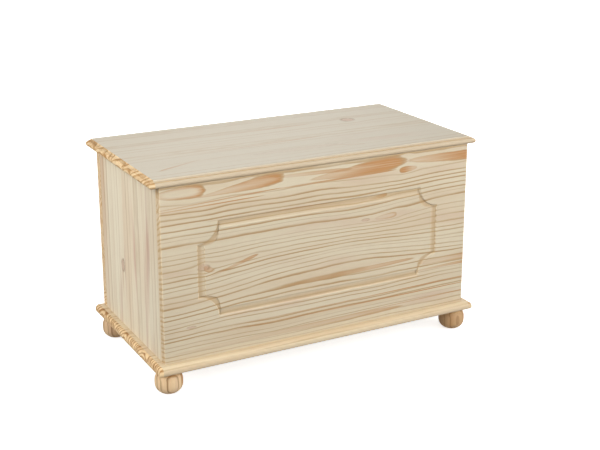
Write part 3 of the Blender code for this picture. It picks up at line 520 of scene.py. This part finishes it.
def pine(
    name, way, zero, box=None, tint=None, late=None, ends=None, knots=(), patches=(), bends=(), carved=0.0,
    moulding=None, **grain,
):
    """Raw sanded pine.

    way turns the grain, and zero is the point on the board's face that the pattern starts from.
    knots are (x, z, half length, half height, darkness).
    patches of heartwood, or of painted shade on the feet, are (x, z, half length, half height, taper, tilt,
    strength, hollow).
    bends lift the growth lines and are (x, z, half length, half height, lift).
    """
    finishes = bpy.context.scene.toy_box_finishes
    tint = tint or finishes.early
    end_light, end_dark = ends or (finishes.end_light, finishes.end_dark)
    material, w, shader = start_material(name, tint)
    turn = WAYS[way]
    where = w.add("TexCoord", out=None)
    vector = w.add("Mapping", where.outputs["Object"], tuple(-(turn @ Vector(zero))), tuple(turn.to_euler()))
    facing = w.add("VectorMath", where.outputs["Normal"], tuple(turn[0]), operation="DOT_PRODUCT", out=1)
    end = w.ramp(w.math("ABSOLUTE", facing), 0.50, 0.80)
    if moulding:  # its ends are sawn across the grain, and show it less at the right
        across, depth, _ = w.parts(where.outputs["Object"])
        start = moulding.half_width - moulding.inset
        end = w.math("MAXIMUM", end, w.ramp(w.math("ABSOLUTE", across), start - 0.001, start + 0.001))
        end = w.times(end, w.ramp(across, moulding.half_width * 0.8, moulding.half_width * 0.9, 1.0, 0.45))
    lens = group_named("Grain lens", lens_group)

    def spot(x, z, half_length, half_height, **more):
        sizes = {"Centre_X": x, "Centre_Z": z, "Half_Length": half_length, "Half_Height": half_height}
        return use_group(w, lens, Vector=vector, **sizes, **more)

    lift, rims = 0.0, []
    for *place, amount in bends:
        near = spot(*place, Ragged=0.0)["Distance"]
        lift = w.plus(lift, w.times(w.math("EXPONENT", w.times(w.times(near, near), -1.0)), amount))
    for *place, dark in knots:
        found = spot(*place)
        lift = w.plus(lift, w.times(found["Push"], 0.8))
        rims.append((found["Distance"], dark))
    patch_marks, pushed = place_heartwood_and_shade(w, spot, patches)
    out = use_group(
        w, group_named("Pine grain", growth_group), Vector=vector, End=end, Lift=w.plus(lift, pushed),
        Early=tint, Late=late or finishes.late, Warm=finishes.warm, Pink=finishes.pink,
        End_Light=end_light, End_Dark=end_dark, **grain,
    )
    tone = paint_heartwood_and_shade(w, out["Color"], vector, patch_marks, finishes)
    if moulding:
        tone = stain_and_shade_moulding(w, tone, vector, depth, end, moulding, finishes)
    if carved:
        tone = stain_and_shade_carving(w, tone, w.parts(vector)[1], carved, finishes)
    tone = stain_knots(w, tone, vector, rims, finishes)
    if box:
        low, high = box
        wear_and_highlight = use_group(
            w, group_named("Burnished and highlighted arris", arris_group), Vector=where.outputs["Object"],
            Middle=tuple((low + high) / 2), Half=tuple((high - low) / 2), Width=0.0032,
        )["Mask"]
        # the arrises are lightened: partly wear, partly a painted highlight
        tone = w.mix(w.times(wear_and_highlight, 0.22), tone, finishes.wear_and_highlight)
    set_surface(w, shader, tone, out["Roughness"], out["Height"], 0.00025, 0.6)
    shader.inputs["Specular IOR Level"].default_value = 0.32
    return material


def metal(name, base, polish):
    if name in bpy.data.materials:
        return bpy.data.materials[name]
    material, w, shader = start_material(name, base)
    where = w.add("TexCoord", out=None).outputs["Object"]
    out = use_group(w, group_named("Worn metal", brushed_group), Vector=where, Polish=polish, Metal=base)
    set_surface(w, shader, out["Color"], out["Roughness"], out["Height"], 0.00004, 0.5)
    shader.inputs["Metallic"].default_value = 1.0
    return material


def plating(node):
    """The slot and material of a metal piece: brass for the hinges and their screws, steel for the rest."""
    finishes = bpy.context.scene.toy_box_finishes
    if node.startswith("hinge_"):
        return "brass", metal("Hinge brass", finishes.brass, 0.22)
    return "steel", metal("Plated steel", finishes.steel, 0.28)


# ---- mesh helpers
def place_in_scene(name, data):
    made = bpy.data.objects.new(name, data)
    bpy.context.scene.collection.objects.link(made)
    return made


def finish_mesh(name, bm):
    mesh = bpy.data.meshes.new(name)
    bm.to_mesh(mesh)
    bm.free()
    return mesh


def add_piece(name, bm, body, material, slot, *nodes):
    """Makes a finished piece that rides on a body and stands for these CAD nodes."""
    bmesh.ops.remove_doubles(bm, verts=bm.verts, dist=2e-6)
    bmesh.ops.recalc_face_normals(bm, faces=bm.faces)
    mesh = finish_mesh(name, bm)
    mesh.shade_smooth()
    mesh.set_sharp_from_angle(angle=SHARP)
    mesh.materials.append(material)
    piece = place_in_scene(name, mesh)
    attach(piece, body)
    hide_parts(*nodes)
    return piece


def refinish(node, material):
    """Gives a CAD node that is already the right shape its finish."""
    piece = frame["nodes"][node]
    piece.data.materials.clear()
    piece.data.materials.append(material)


def add_block(bm, low, high):
    """A box between two corners. Returns its vertices."""
    made = bmesh.ops.create_cube(bm, size=1.0)["verts"]
    bmesh.ops.scale(bm, vec=high - low, verts=made)
    bmesh.ops.translate(bm, vec=(low + high) / 2, verts=made)
    return made


def soften(bm, edges, width, segments=3):
    bmesh.ops.bevel(
        bm, geom=list(edges), offset=width, offset_type="OFFSET", segments=segments, profile=0.5,
        affect="EDGES", clamp_overlap=True, material=-1,
    )


def merged_copy(bm, node, grow=0.0):
    """Adds a CAD node's own shape, its loose triangles joined up, optionally a little bigger."""
    own = bmesh.new()
    own.from_mesh(frame["nodes"][node].data)
    bmesh.ops.remove_doubles(own, verts=own.verts, dist=2e-6)
    bmesh.ops.recalc_face_normals(own, faces=own.faces)
    bmesh.ops.dissolve_limit(own, angle_limit=math.radians(0.5), verts=own.verts, edges=own.edges)
    own.normal_update()
    for vert, normal in [(v, v.normal.copy()) for v in own.verts]:
        vert.co += normal * grow
    mesh = finish_mesh("copy", own)
    bm.from_mesh(mesh)
    bpy.data.meshes.remove(mesh)


def cut_away(piece, cutter_bm):
    """Takes the cutter's shape out of a piece, as a chisel or drill would."""
    mesh = finish_mesh("cutter", cutter_bm)
    cutter = place_in_scene("cutter", mesh)
    step = piece.modifiers.new("cut", "BOOLEAN")
    step.operation, step.solver, step.object, step.use_self = "DIFFERENCE", "EXACT", cutter, True
    done = bpy.data.meshes.new_from_object(piece.evaluated_get(bpy.context.evaluated_depsgraph_get()))
    piece.modifiers.clear()
    old, piece.data = piece.data, done
    done.name = piece.name
    bpy.data.meshes.remove(old)
    bpy.data.objects.remove(cutter)
    bpy.data.meshes.remove(mesh)
    done.shade_smooth()
    done.set_sharp_from_angle(angle=SHARP)


def fill_between(bm, edges, normal):
    bmesh.ops.triangle_fill(bm, use_beauty=True, use_dissolve=False, edges=edges, normal=normal)


def draw_out(bm, edges):
    """Extrudes a loop of edges. Returns the new vertices and edges."""
    grown = bmesh.ops.extrude_edge_only(bm, edges=edges)["geom"]
    verts = [g for g in grown if isinstance(g, bmesh.types.BMVert)]
    return verts, [g for g in grown if isinstance(g, bmesh.types.BMEdge)]


def spin_closed(bm, verts, centre, steps):
    """Turns a line of vertices all the way round an upright axis."""
    edges = [bm.edges.new(pair) for pair in zip(verts, verts[1:])]
    bmesh.ops.spin(
        bm, geom=verts + edges, cent=centre, axis=(0, 0, 1), dvec=(0, 0, 0), angle=math.tau, steps=steps,
        use_merge=True, use_duplicate=False,
    )


def quarter(centre, radii, start, end, steps):
    """Points on an arc, angles in degrees."""
    angles = [math.radians(start + (end - start) * n / steps) for n in range(steps + 1)]
    return [(centre[0] + radii[0] * math.cos(a), centre[1] + radii[1] * math.sin(a)) for a in angles]


def moulded_board(bm, low, high, profile, arris, corner):
    """A board drawn up ring by ring through (inset, height) points on three sides, its back edge sanded."""
    half, top = high.x, high.z - low.z

    def place(verts, inset, up):
        short = max(0.0, arris - min(up, top - up))
        back = arris - math.sqrt(max(0.0, arris * arris - short * short))
        for vert in verts:
            vert.co.x = math.copysign(half - inset, vert.co.x)
            vert.co.y = low.y + inset if vert.co.y < 0 else high.y - back
            vert.co.z = low.z + up

    ring = [bm.verts.new(p) for p in ((-1, -1, 0), (1, -1, 0), (1, 1, 0), (-1, 1, 0))]
    edges = bmesh.ops.contextual_create(bm, geom=ring)["faces"][0].edges[:]
    place(ring, *profile[0])
    mitres = []
    for point in profile[1:]:
        verts, edges = draw_out(bm, edges)
        place(verts, *point)
        mitres += [e for v in verts for e in v.link_edges if v.co.y < 0 and e not in edges]
    bmesh.ops.contextual_create(bm, geom=edges)
    bmesh.ops.recalc_face_normals(bm, faces=bm.faces)
    if corner:
        soften(bm, set(mitres), corner, 5)


# ---- pieces
def riders():
    """Every CAD node with the body it rides on."""
    bodies = frame["record"]["behaviour"]["bodies"]
    return [(node, body) for body, nodes in bodies.items() for node in nodes]


def scooped_outline(bm, half_width, half_height, radius, y, middle):
    """The groove's outer line: a rectangle whose corners are scooped out. Returns its edges."""
    ends, edges = [], []
    for across, up in ((1, 1), (-1, 1), (-1, -1), (1, -1)):
        corner = Vector((across * half_width, y, middle + up * half_height))
        first = corner - (Vector((0, 0, up * radius)) if across == up else Vector((across * radius, 0, 0)))
        start = bm.verts.new(first)
        spun = bmesh.ops.spin(
            bm, geom=[start], cent=corner, axis=(0, 1, 0), dvec=(0, 0, 0), angle=math.radians(90), steps=16,
            use_merge=False, use_duplicate=False,
        )
        last = next(g for g in spun["geom_last"] if isinstance(g, bmesh.types.BMVert))
        chain, step = [], start
        while step is not last:
            edge = next(e for e in step.link_edges if e not in chain)
            chain.append(edge)
            step = edge.other_vert(step)
        edges += chain
        ends.append((start, last))
    for (_, last), (start, _) in zip(ends, ends[1:] + ends[:1]):
        edges.append(bm.edges.new((last, start)))
    return edges


def groove_section(sizes):
    """Across the groove: (inset, depth) down the steep wall, over the floor and up the long slope."""
    wall, floor, depth, round_off = sizes.groove_wall, sizes.groove_floor, sizes.groove_depth, 0.0004
    section = [(0.0, 0.0), (round_off, 0.0003), (wall - round_off, depth - 0.0003), (wall, depth)]
    return section + quarter((wall + floor, 0.0), (sizes.groove_slope, depth), 90, 0, 12)


class TOYBOX_OT_front_panel(bpy.types.Operator):
    """Makes the front panel with its routed groove and raised field"""

    bl_idname = "toybox.front_panel"
    bl_label = "Front panel"

    def execute(self, context):
        sizes = context.scene.toy_box_sizes
        low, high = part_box("front_panel")
        middle = (low + high) / 2
        bm = bmesh.new()
        add_block(bm, low, high)
        soften(bm, bm.edges, sizes.arris)
        face = min(bm.faces, key=lambda f: (round(f.calc_center_median().y, 5), -f.calc_area()))
        rim = face.edges[:]
        bmesh.ops.delete(bm, geom=[face], context="FACES_ONLY")
        half_width, half_height = high.x - middle.x - sizes.groove_side, high.z - middle.z - sizes.groove_edge
        outline = scooped_outline(bm, half_width, half_height, sizes.groove_scoop, low.y, middle.z)
        fill_between(bm, rim + outline, (0, -1, 0))
        field = bmesh.ops.contextual_create(bm, geom=outline)["faces"][0]
        field.normal_update()
        if field.normal.y > 0:
            field.normal_flip()
        section = groove_section(sizes)
        for (near, up), (far, down) in zip(section, section[1:]):
            bmesh.ops.inset_region(
                bm, faces=[field], use_boundary=True, use_even_offset=True, thickness=far - near,
                depth=up - down,
            )
        material = pine(
            "Front pine", "front", (0.0, low.y, low.z), (low, high),
            ends=((0.88, 0.77, 0.58), (0.60, 0.42, 0.23)), knots=FRONT_KNOTS, patches=FRONT_HEARTWOOD,
            bends=FRONT_BENDS, carved=0.28, Seed=3.0, Pith_Depth=0.085, Pith_Height=0.40, Spacing=0.0106,
            Wander=0.013, Along=2.6, Across=6.0, Late_Width=0.42, Line=1.5, Tone=0.5, Blush=0.45,
        )
        add_piece("front_panel_routed", bm, "chest", material, "pine_panel", "front_panel")
        return {"FINISHED"}


class TOYBOX_OT_boards(bpy.types.Operator):
    """Finishes the plain side, back and batten boards"""

    bl_idname = "toybox.boards"
    bl_label = "Sides, back and battens"

    def execute(self, context):
        low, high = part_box("back_panel")
        refinish("back_panel", pine(
            "Back pine", "front", (0.0, high.y, low.z), (low, high), knots=BACK_KNOTS,
            ends=((0.86, 0.67, 0.43), (0.60, 0.36, 0.16)), Seed=41.0, Stave=0.0775, Pith_Depth=-0.06,
            Pith_Spread=0.12, Spacing=0.008, Stave_Tone=0.10, Line=0.6, Wander=0.006,
        ))
        sides = (
            ("left", -1, 12.0, LEFT_KNOTS, LEFT_HEARTWOOD),
            ("right", 1, 77.0, RIGHT_KNOTS, ()),
        )
        for side, sign, seed, knots, heartwood in sides:
            low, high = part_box(f"{side}_panel")
            outer = low.x if sign < 0 else high.x
            refinish(f"{side}_panel", pine(
                f"Side pine {side}", "upright", (outer, 0.0, low.z), (low, high), tint=(0.825, 0.735, 0.56),
                knots=knots, patches=heartwood, Seed=seed, Stave=0.072, Pith_Depth=-0.09 * sign,
                Pith_Spread=0.10, Spacing=0.0058, Stave_Tone=0.12, Line=0.62, Wander=0.005, Tone=0.65,
                Blush=1.0, Late_Width=0.3,
            ))
            low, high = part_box(f"lid_batten_{side}")
            refinish(f"lid_batten_{side}", pine(
                f"Batten pine {side}", "crosswise", ((low.x + high.x) / 2, 0.0, low.z), (low, high),
                Seed=seed + 4, Pith_Depth=0.04, Pith_Height=0.03, Spacing=0.0045, Line=0.6,
            ))
        return {"FINISHED"}


def lid_profile(sizes, thickness):
    """From the lid's underside round its nose, over the quirk and up the hollow slope to the flat top."""
    r, q = sizes.nose, sizes.nose + sizes.quirk
    nose = quarter((r, r), (r, r), -90, -270, 18)
    nose_top, shoulder = 2 * r, 2 * r + 0.0015
    slope = quarter((q, thickness), (sizes.slope - q, thickness - shoulder), -90, 0, 12)
    return nose + [(r + 0.0004, nose_top - 0.0001), (q, nose_top - 0.0005), (q, shoulder - 0.0004)] + slope


class TOYBOX_OT_lid(bpy.types.Operator):
    """Makes the lid with its moulded nose, hinge mortises and screw holes"""

    bl_idname = "toybox.lid"
    bl_label = "Lid"

    def execute(self, context):
        sizes = context.scene.toy_box_sizes
        low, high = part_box("lid_board")
        bm = bmesh.new()
        moulded_board(bm, low, high, lid_profile(sizes, high.z - low.z), sizes.arris, sizes.corner)
        material = pine(
            "Lid pine", "flat", (0.0, 0.0, high.z), tint=(0.63, 0.570, 0.46),
            ends=((0.84, 0.64, 0.38), (0.50, 0.27, 0.10)), knots=LID_KNOTS, patches=LID_HEARTWOOD,
            moulding=Moulding(high.x, low.y, sizes.slope, 0.38, sizes.nose + sizes.quirk), Seed=8.0,
            Stave=0.058, Pith_Depth=0.07, Pith_Spread=0.07, Spacing=0.0105, Wander=0.010, Late_Width=0.20,
            Line=0.45, Tone=0.10, Blush=0.22, Stave_Tone=0.03, Along=1.6,
        )
        lid = add_piece("lid_board_moulded", bm, "lid", material, "pine_lid", "lid_board")
        cutter = bmesh.new()
        for side in ("left", "right"):
            merged_copy(cutter, f"hinge_{side}_moving_leaf", WOOD_GAP)
            start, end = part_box(f"hinge_{side}_pin")
            bmesh.ops.create_cone(
                cutter, cap_ends=True, segments=32, radius1=BARREL_ROOM, radius2=BARREL_ROOM,
                depth=end.x - start.x + BARREL_END_ROOM,
                matrix=Matrix.Translation((start + end) / 2) @ Matrix.Rotation(math.pi / 2, 4, "Y"),
            )
        for node, body in riders():
            if body == "lid" and "screw" in node:
                merged_copy(cutter, node, WOOD_GAP)
        cut_away(lid, cutter)
        return {"FINISHED"}


class TOYBOX_OT_base(bpy.types.Operator):
    """Makes the base board with its rounded edges and the holes for its screws and studs"""

    bl_idname = "toybox.base"
    bl_label = "Base"

    def execute(self, context):
        sizes = context.scene.toy_box_sizes
        low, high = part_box("base_board")
        lower, upper = sizes.base_lower, sizes.base_top
        profile = quarter((lower, lower), (lower, lower), -90, -180, 8)
        profile += quarter((upper, high.z - low.z - upper), (upper, upper), -180, -270, 14)
        bm = bmesh.new()
        moulded_board(bm, low, high, profile, sizes.arris, sizes.corner)
        material = pine(
            "Base pine", "flat", (0.0, 0.0, high.z), tint=(0.755, 0.635, 0.44),
            ends=((0.88, 0.66, 0.38), (0.40, 0.19, 0.06)), moulding=Moulding(high.x, low.y, upper, 0.10, 0.0),
            Seed=21.0, Stave=0.137, Pith_Depth=0.03, Pith_Spread=0.08, Spacing=0.0085, Line=0.85, Tone=0.55,
            Wander=0.007,
        )
        base = add_piece("base_board_moulded", bm, "chest", material, "pine_base", "base_board")
        cutter = bmesh.new()
        for node in frame["nodes"]:
            if node.startswith(("base_screw", "foot_stud")):
                merged_copy(cutter, node, WOOD_GAP)
        cut_away(base, cutter)
        return {"FINISHED"}


def foot_profile(sizes, radius, half, bore, bore_floor):
    """From the middle of a foot's flat bottom round its ball and down its bore."""
    waist = 1 - sizes.foot_flat**2
    points = [(0.0, -half)]
    for step in range(41):
        up = math.sin(math.radians(-90 + 180 * step / 40))
        points.append((radius * math.sqrt(1 - waist * abs(up) ** sizes.foot_square), half * up))
    return points + [(bore, half), (bore, bore_floor), (0.0, bore_floor)]


class TOYBOX_OT_feet(bpy.types.Operator):
    """Turns the four ball feet, each bored for its stud"""

    bl_idname = "toybox.feet"
    bl_label = "Ball feet"

    def execute(self, context):
        sizes, finishes = context.scene.toy_box_sizes, context.scene.toy_box_finishes
        for number, place in enumerate(("front_left", "front_right", "back_left", "back_right"), 1):
            low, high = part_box(f"foot_{place}")
            stud_low, stud_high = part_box(f"foot_stud_{place}")
            middle, half = (low + high) / 2, (high.z - low.z) / 2
            bore = (stud_high.x - stud_low.x) / 2 + WOOD_GAP
            points = foot_profile(sizes, (high.x - low.x) / 2, half, bore, stud_low.z - middle.z - WOOD_GAP)
            bm = bmesh.new()
            verts = [bm.verts.new((middle.x + r, middle.y, middle.z + z)) for r, z in points]
            spin_closed(bm, verts, (middle.x, middle.y, 0), 64)
            darker = (0.68, 0.60, 0.52) if place == "front_right" else (1.0, 1.0, 1.0)
            # painted shade: a dark patch down the right side of each ball, and a painted shadow round its top
            # under the base
            painted_shade_patches = [
                (half, -0.027, 0.034, 0.008, 0.0, 0.0, 1.1, 0.0),
                (half * 2, 0.0, 0.009, 0.030, 0.0, 0.0, 0.9, 0.0),
            ]
            material = pine(
                f"Turned pine {place.replace('_', ' ')}", "standing", (middle.x, middle.y, 0.0),
                tint=tuple(c * d for c, d in zip(finishes.foot, darker)), late=(0.30, 0.14, 0.05),
                patches=painted_shade_patches, Seed=number * 11.0, Pith_Depth=-0.046, Pith_Height=0.003, Spacing=0.0125,
                Line=1.1, Wander=0.004, Along=12.0, Across=24.0, Late_Width=0.42, Tone=1.6, Blush=0.8,
            )
            add_piece(f"foot_{place}_turned", bm, "chest", material, "pine_foot", f"foot_{place}")
        return {"FINISHED"}


class TOYBOX_OT_ironwork(bpy.types.Operator):
    """Makes the hinges, the lid stay and its stud from their CAD shapes"""

    bl_idname = "toybox.ironwork"
    bl_label = "Hinges and lid stay"

    def execute(self, context):
        for node, body in riders():
            if node.startswith(("hinge_", "stay_")) and "screw" not in node:
                slot, material = plating(node)
                bm = bmesh.new()
                merged_copy(bm, node)
                add_piece(f"{node}_{slot}", bm, body, material, slot, node)
        return {"FINISHED"}


class TOYBOX_OT_joinery(bpy.types.Operator):
    """Finishes the hidden dowels and studs"""

    bl_idname = "toybox.joinery"
    bl_label = "Dowels and studs"

    def execute(self, context):
        beech = pine(
            "Beech", "crosswise", (0.0, 0.0, 0.0), tint=context.scene.toy_box_finishes.beech, Seed=5.0,
            Pith_Depth=0.02, Spacing=0.0022, Line=0.25, Wander=0.001, Tone=0.3,
        )
        for node in frame["nodes"]:
            if node.startswith("dowel_"):
                refinish(node, beech)
            elif node.startswith("foot_stud_"):
                refinish(node, plating(node)[1])
        return {"FINISHED"}


def add_screw(bm, centre, way, head, shank, head_height, long):
    """A countersunk screw with a cross recess. Its head's face is at centre, and way 1 points it up."""
    arm, width, deep = head * CROSS_ARM, head * CROSS_WIDTH, head_height * CROSS_DEPTH
    corners = [(arm, -width), (arm, width), (width, width), (width, arm), (-width, arm), (-width, width)]
    corners += [(-x, -y) for x, y in corners]
    cross = [bm.verts.new((centre.x + x, centre.y + y, centre.z)) for x, y in corners]
    cross_edges = [bm.edges.new(pair) for pair in zip(cross, cross[1:] + cross[:1])]
    here = Matrix.Translation(centre)
    rim = bmesh.ops.create_circle(bm, cap_ends=False, segments=28, radius=head, matrix=here)["verts"]
    edges = list({e for v in rim for e in v.link_edges})
    fill_between(bm, cross_edges + edges, (0, 0, -way))
    sunk_verts, sunk_edges = draw_out(bm, cross_edges)
    for vert in sunk_verts:
        vert.co = centre + (vert.co - centre) * CROSS_TAPER + Vector((0, 0, way * deep))
    bmesh.ops.contextual_create(bm, geom=sunk_edges)
    pitch, root = shank * PITCH, shank * THREAD_ROOT
    turns = int(long * THREADED / pitch)
    point = long - shank * POINT
    steps = [(head * 0.98, head_height * 0.08), (shank, head_height)]
    for n in range(turns):
        down = point + (n - turns) * pitch
        steps += [(root, down), (shank, down + 0.35 * pitch), (root, down + 0.7 * pitch)]
    for radius, down in steps + [(shank * TIP, point), (0.0, long)]:
        verts, edges = draw_out(bm, edges)
        for vert in verts:
            out = Vector((vert.co.x - centre.x, vert.co.y - centre.y, 0))
            vert.co = centre + out.normalized() * radius + Vector((0, 0, way * down))


class TOYBOX_OT_screws(bpy.types.Operator):
    """Makes the countersunk screws with their cross recesses"""

    bl_idname = "toybox.screws"
    bl_label = "Screws"

    def execute(self, context):
        for node, body in riders():
            if "screw" in node:
                shank, head_height = next(v for k, v in SCREWS.items() if node.startswith(k))
                low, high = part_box(node)
                way = -1 if "fixed" in node else 1
                centre = (low + high) / 2
                centre.z = low.z if way > 0 else high.z
                slot, material = plating(node)
                bm = bmesh.new()
                add_screw(bm, centre, way, (high.x - low.x) / 2, shank, head_height, high.z - low.z)
                add_piece(f"{node}_driven", bm, body, material, slot, node)
        return {"FINISHED"}


# ---- stage
def add_paper(name, bm, colour, glow):
    """A sheet of glowing studio paper."""
    mesh = finish_mesh(name, bm)
    mesh.shade_smooth()
    material, w, shader = start_material(f"Studio {name}", colour)
    grey = w.ramp(w.noise(w.add("TexCoord", out=None).outputs["Object"], 9.0, 3.0), 0.3, 0.7, 0.985, 1.0)
    w.give(shader.inputs["Base Color"], w.shade(colour, grey))
    shader.inputs["Roughness"].default_value = 0.9
    shader.inputs["Emission Color"].default_value = (1.0, 1.0, 1.0, 1.0)
    shader.inputs["Emission Strength"].default_value = glow
    mesh.materials.append(material)
    paper = place_in_scene(name, mesh)
    paper.visible_diffuse = False
    return paper


def add_room(scene, colour):
    """The floor, and a backdrop that only hides the world's edge."""
    bm = bmesh.new()
    bmesh.ops.create_circle(bm, cap_ends=True, segments=96, radius=FLOOR_RADIUS)
    add_paper("floor", bm, colour, FLOOR_GLOW)  # the dim lower half of the world stands for its bounce
    bm = bmesh.new()
    curve = quarter((BACKDROP_RADIUS, BACKDROP_SWEEP), (BACKDROP_SWEEP, BACKDROP_SWEEP), -90, 0, 10)
    curve.append((BACKDROP_RADIUS + BACKDROP_SWEEP, BACKDROP_HEIGHT))
    spin_closed(bm, [bm.verts.new((r, 0.0, z)) for r, z in curve], (0, 0, 0), 96)
    bmesh.ops.recalc_face_normals(bm, faces=bm.faces)
    bmesh.ops.reverse_faces(bm, faces=bm.faces)
    backdrop = add_paper("backdrop", bm, colour, BACKDROP_GLOW)
    backdrop.visible_glossy = backdrop.visible_shadow = False
    world = bpy.data.worlds.new("Studio")
    scene.world = world
    world.use_nodes = True
    w = Wiring(world.node_tree)
    back = world.node_tree.nodes["Background"]
    up = w.parts(w.add("TexCoord", out=None).outputs["Generated"])[2]
    w.give(back.inputs["Strength"], w.ramp(up, -0.05, 0.05, 0.20, 0.53))
    back.inputs["Color"].default_value = (1.0, 1.0, 1.0, 1.0)


class TOYBOX_OT_stage(bpy.types.Operator):
    """Lays the floor and sets the studio lights and the camera"""

    bl_idname = "toybox.stage"
    bl_label = "Floor, lights and camera"

    def execute(self, context):
        scene = context.scene
        scene.view_settings.view_transform = "Standard"
        add_room(scene, scene.toy_box_finishes.floor)
        for name, (place, size, watts, blue) in SOFTBOXES.items():
            light = bpy.data.lights.new(name, "AREA")
            light.shape, light.size, light.energy, light.color = "SQUARE", size, watts, (1.0, 1.0, blue)
            lamp = place_in_scene(name, light)
            lamp.location = place
            lamp.rotation_euler = (LIGHT_TARGET - lamp.location).to_track_quat("-Z", "Y").to_euler()
        view = bpy.data.cameras.new("Camera")
        view.sensor_width, view.lens, view.shift_y = 36.0, LENS, LENS_SHIFT
        view.clip_end = 60.0
        view.dof.use_dof = False
        camera = place_in_scene("Camera", view)
        camera.location = CAMERA_PLACE
        camera.rotation_euler = (math.pi / 2 - CAMERA_DIP, 0.0, CAMERA_TURN)
        scene.camera = camera
        return {"FINISHED"}


# ---- add-on
MAKERS = (
    TOYBOX_OT_stage, TOYBOX_OT_front_panel, TOYBOX_OT_boards, TOYBOX_OT_lid, TOYBOX_OT_base, TOYBOX_OT_feet,
    TOYBOX_OT_ironwork, TOYBOX_OT_screws, TOYBOX_OT_joinery,
)


class TOYBOX_PT_sidebar(bpy.types.Panel):
    """Lists the pieces of the toy box and their settings"""

    bl_idname = "TOYBOX_PT_sidebar"
    bl_label = "Pine toy box"
    bl_space_type = "VIEW_3D"
    bl_region_type = "UI"
    bl_category = "Toy box"

    def draw(self, context):
        column = self.layout.column(align=True)
        for maker in MAKERS:
            column.operator(maker.bl_idname)
        for group in (context.scene.toy_box_sizes, context.scene.toy_box_finishes):
            box = self.layout.box()
            for name in group.__annotations__:
                box.prop(group, name)


CLASSES = (ToyBoxSizes, ToyBoxFinishes, *MAKERS, TOYBOX_PT_sidebar)


def register():
    for cls in CLASSES:
        bpy.utils.register_class(cls)
    bpy.types.Scene.toy_box_sizes = bpy.props.PointerProperty(type=ToyBoxSizes)
    bpy.types.Scene.toy_box_finishes = bpy.props.PointerProperty(type=ToyBoxFinishes)


def unregister():
    del bpy.types.Scene.toy_box_finishes
    del bpy.types.Scene.toy_box_sizes
    for cls in reversed(CLASSES):
        bpy.utils.unregister_class(cls)


def main():
    register()
    for maker in MAKERS:
        group, name = maker.bl_idname.split(".")
        getattr(getattr(bpy.ops, group), name)()


if __name__ == "__main__":
    main()
